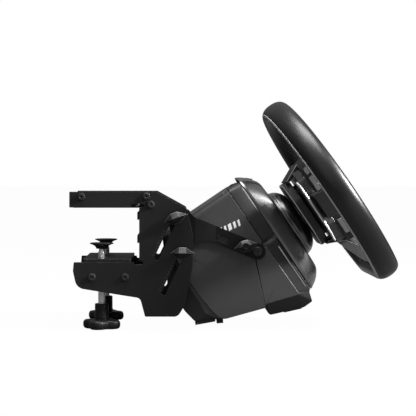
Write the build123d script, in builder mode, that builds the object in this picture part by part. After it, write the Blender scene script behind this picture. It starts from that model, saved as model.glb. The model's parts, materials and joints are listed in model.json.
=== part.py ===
from build123d import *
from math import cos, radians, sin, sqrt
import os

os.makedirs("parts", exist_ok=True)

# Racing wheel on a desk clamp. Millimetres. +Z is up, the driver sits at -Y, the desk lies at +Y, X is across.
# The origin is on the desk's front edge, level with the desk top, on the middle plane of the wheel.

# ---------------------------------------------------------------- driving dimensions
plate_thickness = 4.0
plate_inside = 72.0            # half the distance between the two side plates
plate_outside = plate_inside + plate_thickness
desk_reach = 90.0              # how far the top arm lies over the desk
fit_gap = 0.2                  # play between neighbouring fixed pieces
screw_radius = 3.0             # bracket screws, M6
screw_play = 0.2               # radial room for a screw in its hole
screw_hole_radius = screw_radius + screw_play
pad_thickness = 2.0            # rubber between bracket and desk
tray_top = -68.0               # top face of the lower tray
tray_lip = -72.2               # top edge of the side plates' lower arms
clamp_spread = 57.0            # each clamp screw's distance from the middle plane
clamp_depth = 48.0             # each clamp screw's distance from the desk edge
clamp_rod_radius = 4.9         # M10 thread, crest radius
clamp_pad_top = -47.0          # desk underside
slot_angle = 25.0              # slots lean this far from vertical
stud_radius = 3.0
slot_play = 0.2                # radial room for a stud in its slot
slot_radius = stud_radius + slot_play
carriage_travel = 58.0
upper_stud = (-51.0, -13.5)    # Y, Z of the upper slot knob
lower_stud = (-60.0, -59.8)
arm_thickness = 3.5
base_half_width = 62.0
base_wall = 3.0
pivot_point = (-160.6, -58.3)  # Y, Z of the tilt pivot
tilt_stud_distance = 17.8      # tilt stud to pivot
tilt_stud_angle = 25.0         # direction of the tilt stud above +Y, seen from the pivot
tilt_range = 12.0
pivot_radius = 4.0
running_gap = 0.05
wing_length = 33.0             # wing knobs
wing_width = 15.5
wing_height = 14.0
axis_tilt = 34.0               # steering axis above horizontal
rim_centre_y = -265.9
rim_centre_z = 16.3
rim_radius = 150.0             # outer radius of the grip
rim_flat = 129.0               # steering axis to the flat bottom's outer face
grip_depth = 17.3              # half the grip's thickness along the axis
grip_width = 11.0              # half the grip's radial thickness
core_depth = 9.0               # half sizes of the rim's steel core
core_width = 3.5
shaft_radius = 9.0
motor_radius = 42.0
magnet_gap = 0.6
paddle_thickness = 3.0
button_radius = 5.5
button_travel = 1.5

# ---------------------------------------------------------------- frames
arm_inside = plate_inside - fit_gap - arm_thickness
front_arm_inside = base_half_width + 0.4
to_driver = Vector(0, -cos(radians(axis_tilt)), sin(radians(axis_tilt)))
to_top = Vector(0, sin(radians(axis_tilt)), cos(radians(axis_tilt)))
across = Vector(1, 0, 0)
rim_centre = Vector(0, rim_centre_y, rim_centre_z)
steering_axis = Axis(rim_centre, to_driver)
# local x runs back from the rim plane along the steering axis, local y up the wheel's face
side_plane = Plane(origin=rim_centre, x_dir=-to_driver, z_dir=across)


def face_plane(behind):
    """Plane square to the steering axis, this far behind the rim plane; normal towards the driver."""
    return Plane(origin=rim_centre - to_driver * behind, x_dir=across, z_dir=to_driver)


def side_offset(distance):
    """The side plane moved across by a distance."""
    return side_plane.offset(distance)


def spot_behind(y, z):
    """A frame point's place in the side plane: (behind the rim, up the face)."""
    step = Vector(0, y, z) - rim_centre
    return -step.dot(to_driver), step.dot(to_top)


slot_direction = (sin(radians(slot_angle)), -cos(radians(slot_angle)))
tilt_stud = (
    pivot_point[0] + tilt_stud_distance * cos(radians(tilt_stud_angle)),
    pivot_point[1] + tilt_stud_distance * sin(radians(tilt_stud_angle)),
)
top_screws = [(74.0, 14.8), (-12.3, 15.5), (-18.3, 4.6)]
tray_screws = [(16.0, -92.0), (60.0, -92.0)]
plate_holes = top_screws + tray_screws

# ---------------------------------------------------------------- desk clamp
plate_outline = [
    (desk_reach, 21.5, 1.0),
    (desk_reach, 0.6, 0.5),
    (8.0, 0.6, 0.0),
    (8.0, 5.3, 1.5),
    (-9.3, 5.3, 2.0),
    (-9.3, 0.8, 2.0),
    (-2.8, 0.8, 0.0),
    (-2.8, -70.3, 0.0),
    (-8.0, -70.3, 2.0),
    (-8.0, tray_lip - 3.1, 2.0),
    (4.6, tray_lip - 3.1, 1.5),
    (4.6, tray_lip, 0.0),
    (84.2, tray_lip, 1.0),
    (85.2, -84.0, 9.0),
    (80.3, -106.3, 14.0),
    (-4.0, -119.8, 7.0),
    (-10.6, -144.4, 2.0),
    (-54.0, -144.4, 9.0),
    (-63.0, -130.0, 12.0),
    (-74.1, -76.0, 30.0),
    (-74.1, -36.1, 30.0),
    (-66.5, -1.3, 4.0),
    (-25.2, 21.5, 3.0),
]


def slot_centre(stud):
    """Middle of the slot that a stud slides down."""
    half = carriage_travel / 2
    return stud[0] + slot_direction[0] * half, stud[1] + slot_direction[1] * half


for side, sign in (("left", -1), ("right", 1)):
    plate_start = min(sign * plate_inside, sign * plate_outside)
    with BuildPart() as clamp_plate:
        with BuildSketch(Plane.YZ.offset(plate_start)):
            with BuildLine():
                FilletPolyline(*[(y, z) for y, z, r in plate_outline],
                               radius=[r for y, z, r in plate_outline], close=True)
            make_face()
            with Locations(*plate_holes):
                Circle(screw_hole_radius, mode=Mode.SUBTRACT)
            for stud in (upper_stud, lower_stud):
                with Locations(Location(slot_centre(stud), slot_angle + 90)):
                    SlotCenterToCenter(carriage_travel + 1.0, 2 * slot_radius, mode=Mode.SUBTRACT)
        extrude(amount=plate_thickness)
    clamp_plate.part.label = f"clamp_plate_{side}"
    export_step(clamp_plate.part, f"parts/clamp_plate_{side}.step")

# top plate: a channel that lies over the desk, its flanges screwed to the side plates
channel_inside = plate_inside - fit_gap - plate_thickness
channel_outside = plate_inside - fit_gap
top_web = pad_thickness + plate_thickness
with BuildPart() as top_plate:
    with BuildSketch(Plane.XZ.offset(-desk_reach + 2.0)):
        with BuildLine():
            Polyline((-channel_outside, pad_thickness), (channel_outside, pad_thickness),
                     (channel_outside, 20.0), (channel_inside, 20.0), (channel_inside, top_web),
                     (-channel_inside, top_web), (-channel_inside, 20.0), (-channel_outside, 20.0), close=True)
        make_face()
    extrude(amount=desk_reach - 4.5)
    with Locations(Plane.YZ):
        with Locations((top_screws[0][0], top_screws[0][1], 0)):
            Hole(screw_hole_radius)
top_plate.part.label = "top_plate"
export_step(top_plate.part, "parts/top_plate.step")

with BuildPart() as top_pad:
    with BuildSketch(Plane.XY):
        with Locations((0, (desk_reach - 6.0) / 2)):
            RectangleRounded(2 * channel_inside, desk_reach - 2.0, 4.0)
    extrude(amount=pad_thickness)
top_pad.part.label = "top_pad"
export_step(top_pad.part, "parts/top_pad.step")

# edge plate: a channel standing against the desk edge
edge_front = -3.0
with BuildPart() as edge_plate:
    with BuildSketch(Plane.XY.offset(-50.0)):
        with BuildLine():
            Polyline((-channel_outside, edge_front), (channel_outside, edge_front), (channel_outside, -24.0),
                     (channel_inside, -24.0), (channel_inside, edge_front - plate_thickness),
                     (-channel_inside, edge_front - plate_thickness), (-channel_inside, -24.0),
                     (-channel_outside, -24.0), close=True)
        make_face()
    extrude(amount=70.0)
    with Locations(Plane.YZ):
        with Locations(*[(y, z, 0) for y, z in top_screws[1:]]):
            Hole(screw_hole_radius)
edge_plate.part.label = "edge_plate"
export_step(edge_plate.part, "parts/edge_plate.step")

with BuildPart() as edge_pads:
    with BuildSketch(Plane.XZ.offset(-edge_front)):
        with Locations((0, -11.0), (0, -42.0)):
            RectangleRounded(2 * channel_inside, 10.0, 2.0)
    extrude(amount=edge_front)
edge_pads.part.label = "edge_pads"
export_step(edge_pads.part, "parts/edge_pads.step")

# lower tray: a channel hung over the side plates' lower arms, carrying the clamp screws
tray_under = tray_top - plate_thickness
with BuildPart() as clamp_tray:
    with BuildSketch(Plane.XY.offset(tray_under)):
        with Locations((0, 40.0)):
            RectangleRounded(2 * plate_outside, 64.0, 3.0)
        with Locations((-clamp_spread, clamp_depth), (clamp_spread, clamp_depth)):
            Circle(clamp_rod_radius + 0.6, mode=Mode.SUBTRACT)
    extrude(amount=plate_thickness)
    for sign in (-1, 1):
        flange_start = min(sign * channel_inside, sign * channel_outside)
        with BuildSketch(Plane.YZ.offset(flange_start)):
            with Locations((40.0, tray_under - 16.0)):
                RectangleRounded(60.0, 32.0, 3.0)
        extrude(amount=plate_thickness)
    with Locations(Plane.YZ):
        with Locations(*[(y, z, 0) for y, z in tray_screws]):
            Hole(screw_hole_radius)
clamp_tray.part.label = "clamp_tray"
export_step(clamp_tray.part, "parts/clamp_tray.step")

# flanged nuts welded under the tray, one for each clamp screw
nut_height = 16.0
with BuildPart() as tray_nuts:
    with BuildSketch(Plane.XY.offset(tray_under - nut_height)):
        with Locations((-clamp_spread, clamp_depth), (clamp_spread, clamp_depth)):
            RegularPolygon(9.0, 6, major_radius=False)
            Circle(clamp_rod_radius + running_gap, mode=Mode.SUBTRACT)
    extrude(amount=nut_height)
tray_nuts.part.label = "tray_nuts"
export_step(tray_nuts.part, "parts/tray_nuts.step")

# button-head screws through each side plate into its flange, with a nut inside
screw_head_radius = 5.2
screw_head_height = 3.0
screw_nut_height = 4.6
with BuildPart() as bracket_screws:
    for sign in (-1, 1):
        outward = Plane.YZ.offset(sign * plate_outside)
        with BuildSketch(outward):
            with Locations(*plate_holes):
                Circle(screw_head_radius)
        extrude(amount=sign * screw_head_height, taper=18)
        with BuildSketch(Plane.YZ.offset(sign * (plate_outside + screw_head_height))):
            with Locations(*plate_holes):
                RegularPolygon(1.9, 6)
        extrude(amount=-sign * 2.0, mode=Mode.SUBTRACT)
        with BuildSketch(outward):
            with Locations(*plate_holes):
                Circle(screw_radius)
        extrude(amount=-sign * (2 * plate_thickness + screw_nut_height + 1.5))
bracket_screws.part.label = "bracket_screws"
export_step(bracket_screws.part, "parts/bracket_screws.step")

with BuildPart() as bracket_nuts:
    for sign in (-1, 1):
        with BuildSketch(Plane.YZ.offset(sign * channel_inside)):
            with Locations(*plate_holes):
                RegularPolygon(4.9, 6, major_radius=False, rotation=30)
                Circle(screw_radius + 0.02, mode=Mode.SUBTRACT)
        extrude(amount=-sign * screw_nut_height)
bracket_nuts.part.label = "bracket_nuts"
export_step(bracket_nuts.part, "parts/bracket_nuts.step")

# ---------------------------------------------------------------- clamp screws
pad_radius = 16.0
ball_radius = 5.0
pad_height = 8.0
knob_radius = 26.0
knob_top = -150.0
knob_height = 12.0
collar_radius = 7.6
collar_top = knob_top + 13.5
lobe_count = 4
lobe_radius = 8.0
lobe_turn = -18.0             # the first lobe's direction from +X
knob_round = 3.0
for side, sign in (("left", -1), ("right", 1)):
    clamp_axis = Axis((sign * clamp_spread, clamp_depth, 0), (0, 0, 1))
    clamp_plane = Plane(origin=(sign * clamp_spread, clamp_depth, 0), x_dir=(1, 0, 0), z_dir=(0, -1, 0))
    with BuildPart() as swivel_pad:
        with BuildSketch(clamp_plane):
            with BuildLine():
                Polyline((0, clamp_pad_top), (pad_radius, clamp_pad_top), (pad_radius, clamp_pad_top - 1.2),
                         (7.2, clamp_pad_top - 5.0), (7.2, clamp_pad_top - pad_height),
                         (ball_radius + 0.3, clamp_pad_top - pad_height),
                         (ball_radius + 0.3, clamp_pad_top - 3.0), (0, clamp_pad_top - 3.0), close=True)
            make_face()
        revolve(axis=clamp_axis)
    swivel_pad.part.label = f"swivel_pad_{side}"
    export_step(swivel_pad.part, f"parts/swivel_pad_{side}.step")

    with BuildPart() as clamp_screw:
        with BuildSketch(clamp_plane):
            with BuildLine():
                Polyline((0, clamp_pad_top - 3.3), (ball_radius - 1.0, clamp_pad_top - 3.3),
                         (ball_radius, clamp_pad_top - 4.3), (ball_radius, clamp_pad_top - 7.0),
                         (3.8, clamp_pad_top - 8.4), (clamp_rod_radius, clamp_pad_top - 9.6),
                         (clamp_rod_radius, collar_top + 0.2), (3.6, collar_top + 0.2),
                         (3.6, knob_top - knob_height + 2.0), (0, knob_top - knob_height + 2.0), close=True)
            make_face()
        revolve(axis=clamp_axis)
    clamp_screw.part.label = f"clamp_screw_{side}"
    export_step(clamp_screw.part, f"parts/clamp_screw_{side}.step")

    with BuildPart() as clamp_knob:
        with BuildSketch(Plane.XY.offset(knob_top - knob_height)) as lobes:
            with Locations((sign * clamp_spread, clamp_depth)):
                Circle(knob_radius - 10.0)
                with PolarLocations(knob_radius - lobe_radius, lobe_count, start_angle=lobe_turn):
                    Circle(lobe_radius)
            fillet(lobes.vertices(), knob_round)
        extrude(amount=knob_height)
        fillet(clamp_knob.faces().filter_by(Axis.Z).edges(), knob_round)
        with BuildSketch(Plane.XY.offset(knob_top)):
            with Locations((sign * clamp_spread, clamp_depth)):
                Circle(collar_radius)
        extrude(amount=collar_top - knob_top)
        with BuildSketch(Plane.XY.offset(knob_top - knob_height + 2.0)):
            with Locations((sign * clamp_spread, clamp_depth)):
                Circle(3.6 + 0.02)
        extrude(amount=collar_top - knob_top + knob_height, mode=Mode.SUBTRACT)
    clamp_knob.part.label = f"clamp_knob_{side}"
    export_step(clamp_knob.part, f"parts/clamp_knob_{side}.step")

# ---------------------------------------------------------------- height carriage
# a joggled strip seen from above, cut to the arm's side outline
jog_start = -77.0
jog_end = -105.0
stud_margin = 9.0
band_half = 10.8
slope = 22.2
band_up = Vector(-sin(radians(slope)), cos(radians(slope)))
end_top = Vector(*pivot_point) + band_up * band_half
end_low = Vector(*pivot_point) - band_up * band_half
band_run = Vector(cos(radians(slope)), sin(radians(slope)))
arm_outline = [
    (upper_stud[0] + 7.0, upper_stud[1] + stud_margin, 6.0),
    (-69.0, upper_stud[1] + stud_margin - 0.5, 5.0),
    ((end_top + band_run * 95.0).X, (end_top + band_run * 95.0).Y, 0.0),
    ((end_top - band_run * band_half).X, (end_top - band_run * band_half).Y, band_half - 0.05),
    ((end_low - band_run * band_half).X, (end_low - band_run * band_half).Y, band_half - 0.05),
    ((end_low + band_run * 66.0).X, (end_low + band_run * 66.0).Y, 4.0),
    (-73.0, -46.5, 3.0),
    (lower_stud[0] - stud_margin, lower_stud[1] - 4.0, 5.0),
    (lower_stud[0] - 5.0, lower_stud[1] - stud_margin, 4.0),
    (lower_stud[0] + 6.5, lower_stud[1] - stud_margin, 5.0),
    (upper_stud[0] + stud_margin, upper_stud[1] - 8.0, 8.0),
]
window_centre = (-115.0, -42.6)
# the tilt stud's path in the arm, round the pivot
tilt_slot_line = CenterArc(pivot_point, tilt_stud_distance, tilt_stud_angle - tilt_range - 1.0,
                           2 * tilt_range + 2.0, mode=Mode.PRIVATE)
for side, sign in (("left", -1), ("right", 1)):
    rear_in, rear_out = sign * arm_inside, sign * (arm_inside + arm_thickness)
    front_in, front_out = sign * front_arm_inside, sign * (front_arm_inside + arm_thickness)
    with BuildPart() as arm:
        with BuildSketch(Plane.XY.offset(-140.0)):
            with BuildLine():
                Polyline((rear_in, -20.0), (rear_out, -20.0), (rear_out, jog_start), (front_out, jog_end),
                         (front_out, -200.0), (front_in, -200.0), (front_in, jog_end - 1.5),
                         (rear_in, jog_start - 1.5), close=True)
            make_face()
        extrude(amount=200.0)
        with BuildSketch(Plane.YZ.offset(-100.0)):
            with BuildLine():
                FilletPolyline(*[(y, z) for y, z, r in arm_outline],
                               radius=[r for y, z, r in arm_outline], close=True)
            make_face()
            with Locations(Location(window_centre, slope)):
                RectangleRounded(17.0, 8.0, 2.0, mode=Mode.SUBTRACT)
            with Locations(upper_stud, lower_stud):
                Circle(stud_radius + 0.02, mode=Mode.SUBTRACT)
            with Locations(pivot_point):
                Circle(pivot_radius + running_gap, mode=Mode.SUBTRACT)
            SlotArc(tilt_slot_line, 2 * (stud_radius + 0.3), mode=Mode.SUBTRACT)
        extrude(amount=200.0, mode=Mode.INTERSECT)
    arm.part.label = f"arm_{side}"
    export_step(arm.part, f"parts/arm_{side}.step")

stud_reach = plate_outside + 9.0
with BuildPart() as slot_studs:
    for sign in (-1, 1):
        with BuildSketch(Plane.YZ.offset(sign * (arm_inside - 2.5))):
            with Locations(upper_stud, lower_stud):
                Circle(stud_radius)
        extrude(amount=sign * (stud_reach - arm_inside + 2.5))
        with BuildSketch(Plane.YZ.offset(sign * arm_inside)):
            with Locations(upper_stud, lower_stud):
                RegularPolygon(5.0, 6)
        extrude(amount=-sign * 2.5)
slot_studs.part.label = "slot_studs"
export_step(slot_studs.part, "parts/slot_studs.step")

# ---------------------------------------------------------------- wing knobs
washer_height = 3.0
knob_turns = {"upper": 23.0, "lower": 0.0, "tilt": 19.0}
wing_places = [
    ("slot_knob_upper", upper_stud, plate_outside + fit_gap, "upper"),
    ("slot_knob_lower", lower_stud, plate_outside + fit_gap, "lower"),
    ("tilt_knob", tilt_stud, front_arm_inside + arm_thickness + fit_gap, "tilt"),
]
for side, sign in (("left", -1), ("right", 1)):
    for label, place, seat, turn in wing_places:
        # local x along the wing, which leans back and down, local y up; the normal points away from the plate
        wing_plane = Plane(origin=(sign * seat, place[0], place[1]), x_dir=(0, sign, 0), z_dir=(sign, 0, 0))
        lean = -sign * knob_turns[turn]
        with BuildPart() as wing_knob:
            with BuildSketch(wing_plane):
                Circle(5.6)
            extrude(amount=washer_height)
            with BuildSketch(wing_plane.offset(washer_height)):
                with BuildLine(Plane.XY.rotated((0, 0, lean))):
                    Polyline((-wing_length / 2, 0), (-5.0, wing_width / 2), (5.0, wing_width / 2),
                             (wing_length / 2, 0), (5.0, -wing_width / 2), (-5.0, -wing_width / 2), close=True)
                make_face()
            extrude(amount=wing_height - washer_height, taper=9)
            with BuildSketch(wing_plane):
                Circle(stud_radius + 0.02)
            extrude(amount=10.0, mode=Mode.SUBTRACT)
        wing_knob.part.label = f"{label}_{side}"
        export_step(wing_knob.part, f"parts/{label}_{side}.step")

# ---------------------------------------------------------------- wheel base
# outline of the housing seen from the side: (behind the rim plane, up the wheel's face)
bezel_front = 97.0
panel_front = 116.0
top_height = 88.3
skirt_split = 162.0
bottom_at_split = -72.4
rear_wall = 254.5
bottom_front = bottom_at_split - 0.341 * (skirt_split - panel_front)
axis_gap = 4.0
housing_rear = [
    (222.0, top_height, 3.0),
    (230.0, 72.0, 6.0),
    (rear_wall, 26.0, 6.0),
    (rear_wall, -16.0, 5.0),
    (251.0, -34.0, 2.0),
    (226.0, -48.0, 1.0),
    (214.0, -54.8, 0.0),
]
seam_top = (137.4, -11.0)
seam_gap = 0.5
shell_outline = ([(panel_front, top_height, 0.0)] + housing_rear
                 + [(skirt_split, bottom_at_split, 0.0), (panel_front, bottom_front, 0.0)])
inner_half_width = base_half_width - base_wall

# the wrap: top, rear and bottom of the housing, open at the sides and the front
with BuildPart() as base_shell:
    with BuildSketch(side_offset(-inner_half_width + fit_gap)):
        with BuildLine():
            FilletPolyline(*[(b, t) for b, t, r in shell_outline],
                           radius=[r for b, t, r in shell_outline], close=True)
        make_face()
        with BuildLine():
            Polyline((panel_front - 1.0, top_height - base_wall), (220.0, top_height - base_wall),
                     (227.2, 71.0), (rear_wall - base_wall, 25.0), (rear_wall - base_wall, -15.5),
                     (248.3, -32.0), (224.6, -45.2), (213.3, -51.9),
                     (skirt_split, bottom_at_split + base_wall),
                     (panel_front - 1.0, bottom_front + base_wall - 0.34), close=True)
        make_face(mode=Mode.SUBTRACT)
    extrude(amount=2 * (inner_half_width - fit_gap))
base_shell.part.label = "base_shell"
export_step(base_shell.part, "parts/base_shell.step")

pivot_spot = spot_behind(*pivot_point)
stud_spot = spot_behind(*tilt_stud)
panel_outline = ([(panel_front + seam_gap, top_height, 0.0)] + housing_rear
                 + [(skirt_split, bottom_at_split, 0.0), (seam_top[0], seam_top[1], 1.0),
                    (panel_front + seam_gap, axis_gap, 0.0)])
for side, sign in (("left", -1), ("right", 1)):
    panel_start = min(sign * inner_half_width, sign * base_half_width)
    with BuildPart() as side_panel:
        with BuildSketch(side_offset(panel_start)):
            with BuildLine():
                FilletPolyline(*[(b, t) for b, t, r in panel_outline],
                               radius=[r for b, t, r in panel_outline], close=True)
            make_face()
            with Locations(pivot_spot):
                Circle(pivot_radius + fit_gap, mode=Mode.SUBTRACT)
            with Locations(stud_spot):
                Circle(stud_radius + fit_gap, mode=Mode.SUBTRACT)
        extrude(amount=base_wall)
    side_panel.part.label = f"side_panel_{side}"
    export_step(side_panel.part, f"parts/side_panel_{side}.step")

# front skirt: the lower front cheeks joined under the shell
skirt_outline = [
    (seam_top[0] - seam_gap, seam_top[1] - 1.0, 1.0),
    (skirt_split - seam_gap - 0.2, bottom_at_split - 0.4, 0.0),
    (skirt_split + 1.3, -81.0, 0.5),
    (skirt_split - 0.3, -84.2, 1.2),
    (119.0, -100.7, 2.5),
    (105.2, -100.2, 2.5),
    (101.6, -88.0, 1.0),
    (bezel_front + 1.0, -84.0, 1.0),
    (bezel_front + 1.0, axis_gap - 8.0, 1.0),
    (seam_top[0] - 8.0, axis_gap - 8.0, 1.0),
]
with BuildPart() as front_skirt:
    with BuildSketch(side_offset(-base_half_width)):
        with BuildLine():
            FilletPolyline(*[(b, t) for b, t, r in skirt_outline],
                           radius=[r for b, t, r in skirt_outline], close=True)
        make_face()
        with Locations(pivot_spot):
            Circle(pivot_radius + fit_gap, mode=Mode.SUBTRACT)
        with Locations(stud_spot):
            Circle(stud_radius + 1.0, mode=Mode.SUBTRACT)
    extrude(amount=2 * base_half_width)
    # the space between the cheeks, which the shell and the motor fill
    with BuildSketch(side_offset(-inner_half_width)):
        with BuildLine():
            Polyline((bezel_front - 5.0, 30.0), (skirt_split + 20.0, 30.0),
                     (skirt_split + 20.0, bottom_at_split + 0.34 * 20.0 - fit_gap),
                     (bezel_front - 5.0, bottom_at_split - 0.341 * (skirt_split - bezel_front + 5.0) - fit_gap),
                     close=True)
        make_face()
    extrude(amount=2 * inner_half_width, mode=Mode.SUBTRACT)
front_skirt.part.label = "front_skirt"
export_step(front_skirt.part, "parts/front_skirt.step")

# front bezel: a hollow frame that narrows towards the driver, over the upper front and behind the nose
bezel_top_in = top_height - base_wall
button_play = 0.3
button_plane = Plane(origin=rim_centre - to_driver * 106.5 + to_top * (top_height + 0.6), x_dir=across, z_dir=to_top)
with BuildPart() as front_bezel:
    with BuildSketch(face_plane(bezel_front)):
        with Locations((0, (top_height - 2.0 + axis_gap - 1.0) / 2)):
            RectangleRounded(2 * (base_half_width - 4.0), top_height - 2.0 - axis_gap + 1.0, 2.0)
    with BuildSketch(face_plane(panel_front)):
        with Locations((0, (top_height + axis_gap - 1.0) / 2)):
            RectangleRounded(2 * base_half_width, top_height - axis_gap + 1.0, 2.0)
    loft()
    with BuildSketch(face_plane(panel_front + 1.0)):
        with Locations((0, (bezel_top_in - 6.0) / 2)):
            Rectangle(2 * (base_half_width - 8.0), bezel_top_in + 6.0 - 3.0)
    extrude(amount=panel_front + 2.0 - bezel_front, mode=Mode.SUBTRACT)
    with BuildSketch(button_plane):
        RectangleRounded(24.0 + 2 * button_play, 5.0 + 2 * button_play, 2.4 + button_play)
    extrude(amount=-12.0, mode=Mode.SUBTRACT)
front_bezel.part.label = "front_bezel"
export_step(front_bezel.part, "parts/front_bezel.step")

# nose shroud: glossy stepped cover, rounded rectangles that shrink towards the wheel
nose_back = bezel_front - fit_gap
shroud_front = 73.0
dome_front = 52.3
nose_sections = [
    (nose_back, 2 * (base_half_width - 5.0), 93.0, -89.5, 26.0),
    (86.0, 2 * (base_half_width - 8.0), 87.5, -85.5, 34.0),
    (shroud_front, 2 * (base_half_width - 12.0), 72.0, -72.0, 44.0),
]
dome_seat = 44.0
shroud_wall = 3.0
with BuildPart() as nose_shroud:
    for behind, wide, top, foot, corner in nose_sections:
        with BuildSketch(face_plane(behind)):
            with Locations((0, (top + foot) / 2)):
                RectangleRounded(wide, top - foot, corner)
    loft()
    for behind, wide, top, foot, corner in [(nose_back + 1.0,) + nose_sections[0][1:],
                                            (shroud_front + shroud_wall,) + nose_sections[2][1:]]:
        with BuildSketch(face_plane(behind)):
            with Locations((0, (top + foot) / 2)):
                RectangleRounded(wide - 4 * shroud_wall, top - foot - 4 * shroud_wall, corner - 2 * shroud_wall)
    loft(mode=Mode.SUBTRACT)
    with BuildSketch(face_plane(nose_back)):
        Circle(dome_seat)
    extrude(amount=nose_back, mode=Mode.SUBTRACT)
nose_shroud.part.label = "nose_shroud"
export_step(nose_shroud.part, "parts/nose_shroud.step")

# nose dome: turned cover round the quick release
dome_bore = 22.0
dome_base_radius = 49.5
with BuildPart() as nose_dome:
    with BuildSketch(side_plane):
        with BuildLine():
            Polyline((shroud_front + 9.0, dome_seat - 4.0), (shroud_front + 9.0, dome_seat - fit_gap),
                     (shroud_front - fit_gap, dome_seat - fit_gap), (shroud_front - fit_gap, dome_base_radius))
            ThreePointArc((shroud_front - fit_gap, dome_base_radius), (61.0, 46.0), (53.8, 36.0))
            Polyline((53.8, 36.0), (dome_front, 28.5), (dome_front, dome_bore), (dome_front + 3.0, dome_bore),
                     (dome_front + 5.0, 34.0), (64.0, dome_seat - 3.5), (shroud_front + 9.0, dome_seat - 4.0))
        make_face()
    revolve(axis=steering_axis)
nose_dome.part.label = "nose_dome"
export_step(nose_dome.part, "parts/nose_dome.step")

# rubber feet: a pair at the rear, a pair under the skirt, and a strip along the rear edge
foot_width = 14.0
foot_spots = [(222.6, -52.6, 8.8, 8.0, 29.5), (133.0, -95.6, 24.0, 3.0, 21.1)]
with BuildPart() as base_feet:
    for x in (-44.0, 44.0):
        with BuildSketch(side_offset(x - foot_width / 2)):
            for behind, height, length, tall, lean in foot_spots:
                with Locations(Location((behind, height), lean)):
                    Rectangle(length, tall)
        extrude(amount=foot_width)
    with BuildSketch(side_offset(-base_half_width + 4.0)):
        with BuildLine():
            Polyline((250.7, -34.0), (253.1, -38.9), (228.0, -50.0), (228.0, -46.5), close=True)
        make_face()
    extrude(amount=2 * (base_half_width - 4.0))
    with BuildSketch(side_offset(-base_half_width)):
        with BuildLine():
            Polyline((260.0, -28.96), (251.0, -34.0), (226.0, -48.0), (214.0, -54.8),
                     (214.0, 0.0), (260.0, 0.0), close=True)
        make_face()
        with BuildLine():
            Polyline((skirt_split - 0.3, -84.2), (119.0, -100.7), (119.0, -60.0), (skirt_split - 0.3, -60.0), close=True)
        make_face()
    extrude(amount=2 * base_half_width, mode=Mode.SUBTRACT)
base_feet.part.label = "base_feet"
export_step(base_feet.part, "parts/base_feet.step")

# motor housing with a bearing seat at each end
motor_front = 118.0
motor_rear = 204.0
bearing_width = 10.0
bearing_radius = 20.0
motor_wall = 4.0
with BuildPart() as motor_housing:
    with BuildSketch(side_plane):
        with BuildLine():
            Polyline((motor_front, bearing_radius), (motor_front, motor_radius), (motor_rear, motor_radius),
                     (motor_rear, bearing_radius), (motor_rear - bearing_width, bearing_radius),
                     (motor_rear - bearing_width, motor_radius - motor_wall),
                     (motor_front + bearing_width, motor_radius - motor_wall),
                     (motor_front + bearing_width, bearing_radius), close=True)
        make_face()
    revolve(axis=steering_axis)
motor_housing.part.label = "motor_housing"
export_step(motor_housing.part, "parts/motor_housing.step")

stator_bore = 25.0
with BuildPart() as motor_stator:
    with BuildSketch(face_plane(motor_rear - bearing_width - 3.0)):
        Circle(motor_radius - motor_wall)
        Circle(motor_radius - motor_wall - 4.0, mode=Mode.SUBTRACT)
        with PolarLocations(0, 12):
            with Locations((29.5, 0)):
                Rectangle(9.5, 5.0)
        Circle(stator_bore, mode=Mode.SUBTRACT)
    extrude(amount=motor_rear - motor_front - 2 * bearing_width - 6.0)
motor_stator.part.label = "motor_stator"
export_step(motor_stator.part, "parts/motor_stator.step")

with BuildPart() as shaft_bearings:
    for behind in (motor_front + bearing_width, motor_rear):
        with BuildSketch(face_plane(behind)):
            Circle(bearing_radius)
            Circle(shaft_radius + running_gap, mode=Mode.SUBTRACT)
        extrude(amount=bearing_width)
shaft_bearings.part.label = "shaft_bearings"
export_step(shaft_bearings.part, "parts/shaft_bearings.step")

board_height = 54.0
with BuildPart() as circuit_board:
    with BuildSketch(side_offset(-48.0)):
        with Locations((168.0, board_height)):
            Rectangle(80.0, 1.6)
    extrude(amount=96.0)
    with BuildSketch(side_offset(-30.0)):
        with Locations((150.0, board_height + 5.8), (185.0, board_height + 4.8)):
            Rectangle(14.0, 8.4)
    extrude(amount=24.0)
circuit_board.part.label = "circuit_board"
export_step(circuit_board.part, "parts/circuit_board.step")

# sockets in the rear wall: a power inlet and three data sockets in one plate
socket_plate = Plane(origin=rim_centre - to_driver * (rear_wall + 1.5) - to_top * 2.0, x_dir=across, z_dir=-to_driver)
with BuildPart() as rear_sockets:
    with BuildSketch(socket_plate):
        RectangleRounded(74.0, 22.0, 3.0)
    extrude(amount=-1.5)
    with BuildSketch(socket_plate):
        with Locations((-24.0, 0)):
            Circle(6.0)
        with Locations((-2.0, 0), (14.0, 0), (29.0, 0)):
            Rectangle(11.0, 8.0)
    extrude(amount=0.8)
    with BuildSketch(socket_plate.offset(0.8)):
        with Locations((-24.0, 0)):
            Circle(4.0)
            Circle(1.2, mode=Mode.SUBTRACT)
        with Locations((-2.0, 0), (14.0, 0), (29.0, 0)):
            Rectangle(8.0, 5.0)
    extrude(amount=-2.0, mode=Mode.SUBTRACT)
rear_sockets.part.label = "rear_sockets"
export_step(rear_sockets.part, "parts/rear_sockets.step")

# threaded blocks behind the side panels that take the pivot bolts and the tilt studs
block_thickness = 9.0
with BuildPart() as pivot_blocks:
    for sign in (-1, 1):
        block_start = sign * (inner_half_width - 0.2)
        with BuildSketch(Plane.YZ.offset(block_start)):
            with Locations(Location(((pivot_point[0] + tilt_stud[0]) / 2, (pivot_point[1] + tilt_stud[1]) / 2),
                                    tilt_stud_angle)):
                RectangleRounded(tilt_stud_distance + 16.0, 16.0, 3.0)
            with Locations(pivot_point):
                Circle(pivot_radius - 0.5, mode=Mode.SUBTRACT)
            with Locations(tilt_stud):
                Circle(stud_radius + 0.02, mode=Mode.SUBTRACT)
        extrude(amount=-sign * block_thickness)
pivot_blocks.part.label = "pivot_blocks"
export_step(pivot_blocks.part, "parts/pivot_blocks.step")

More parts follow.
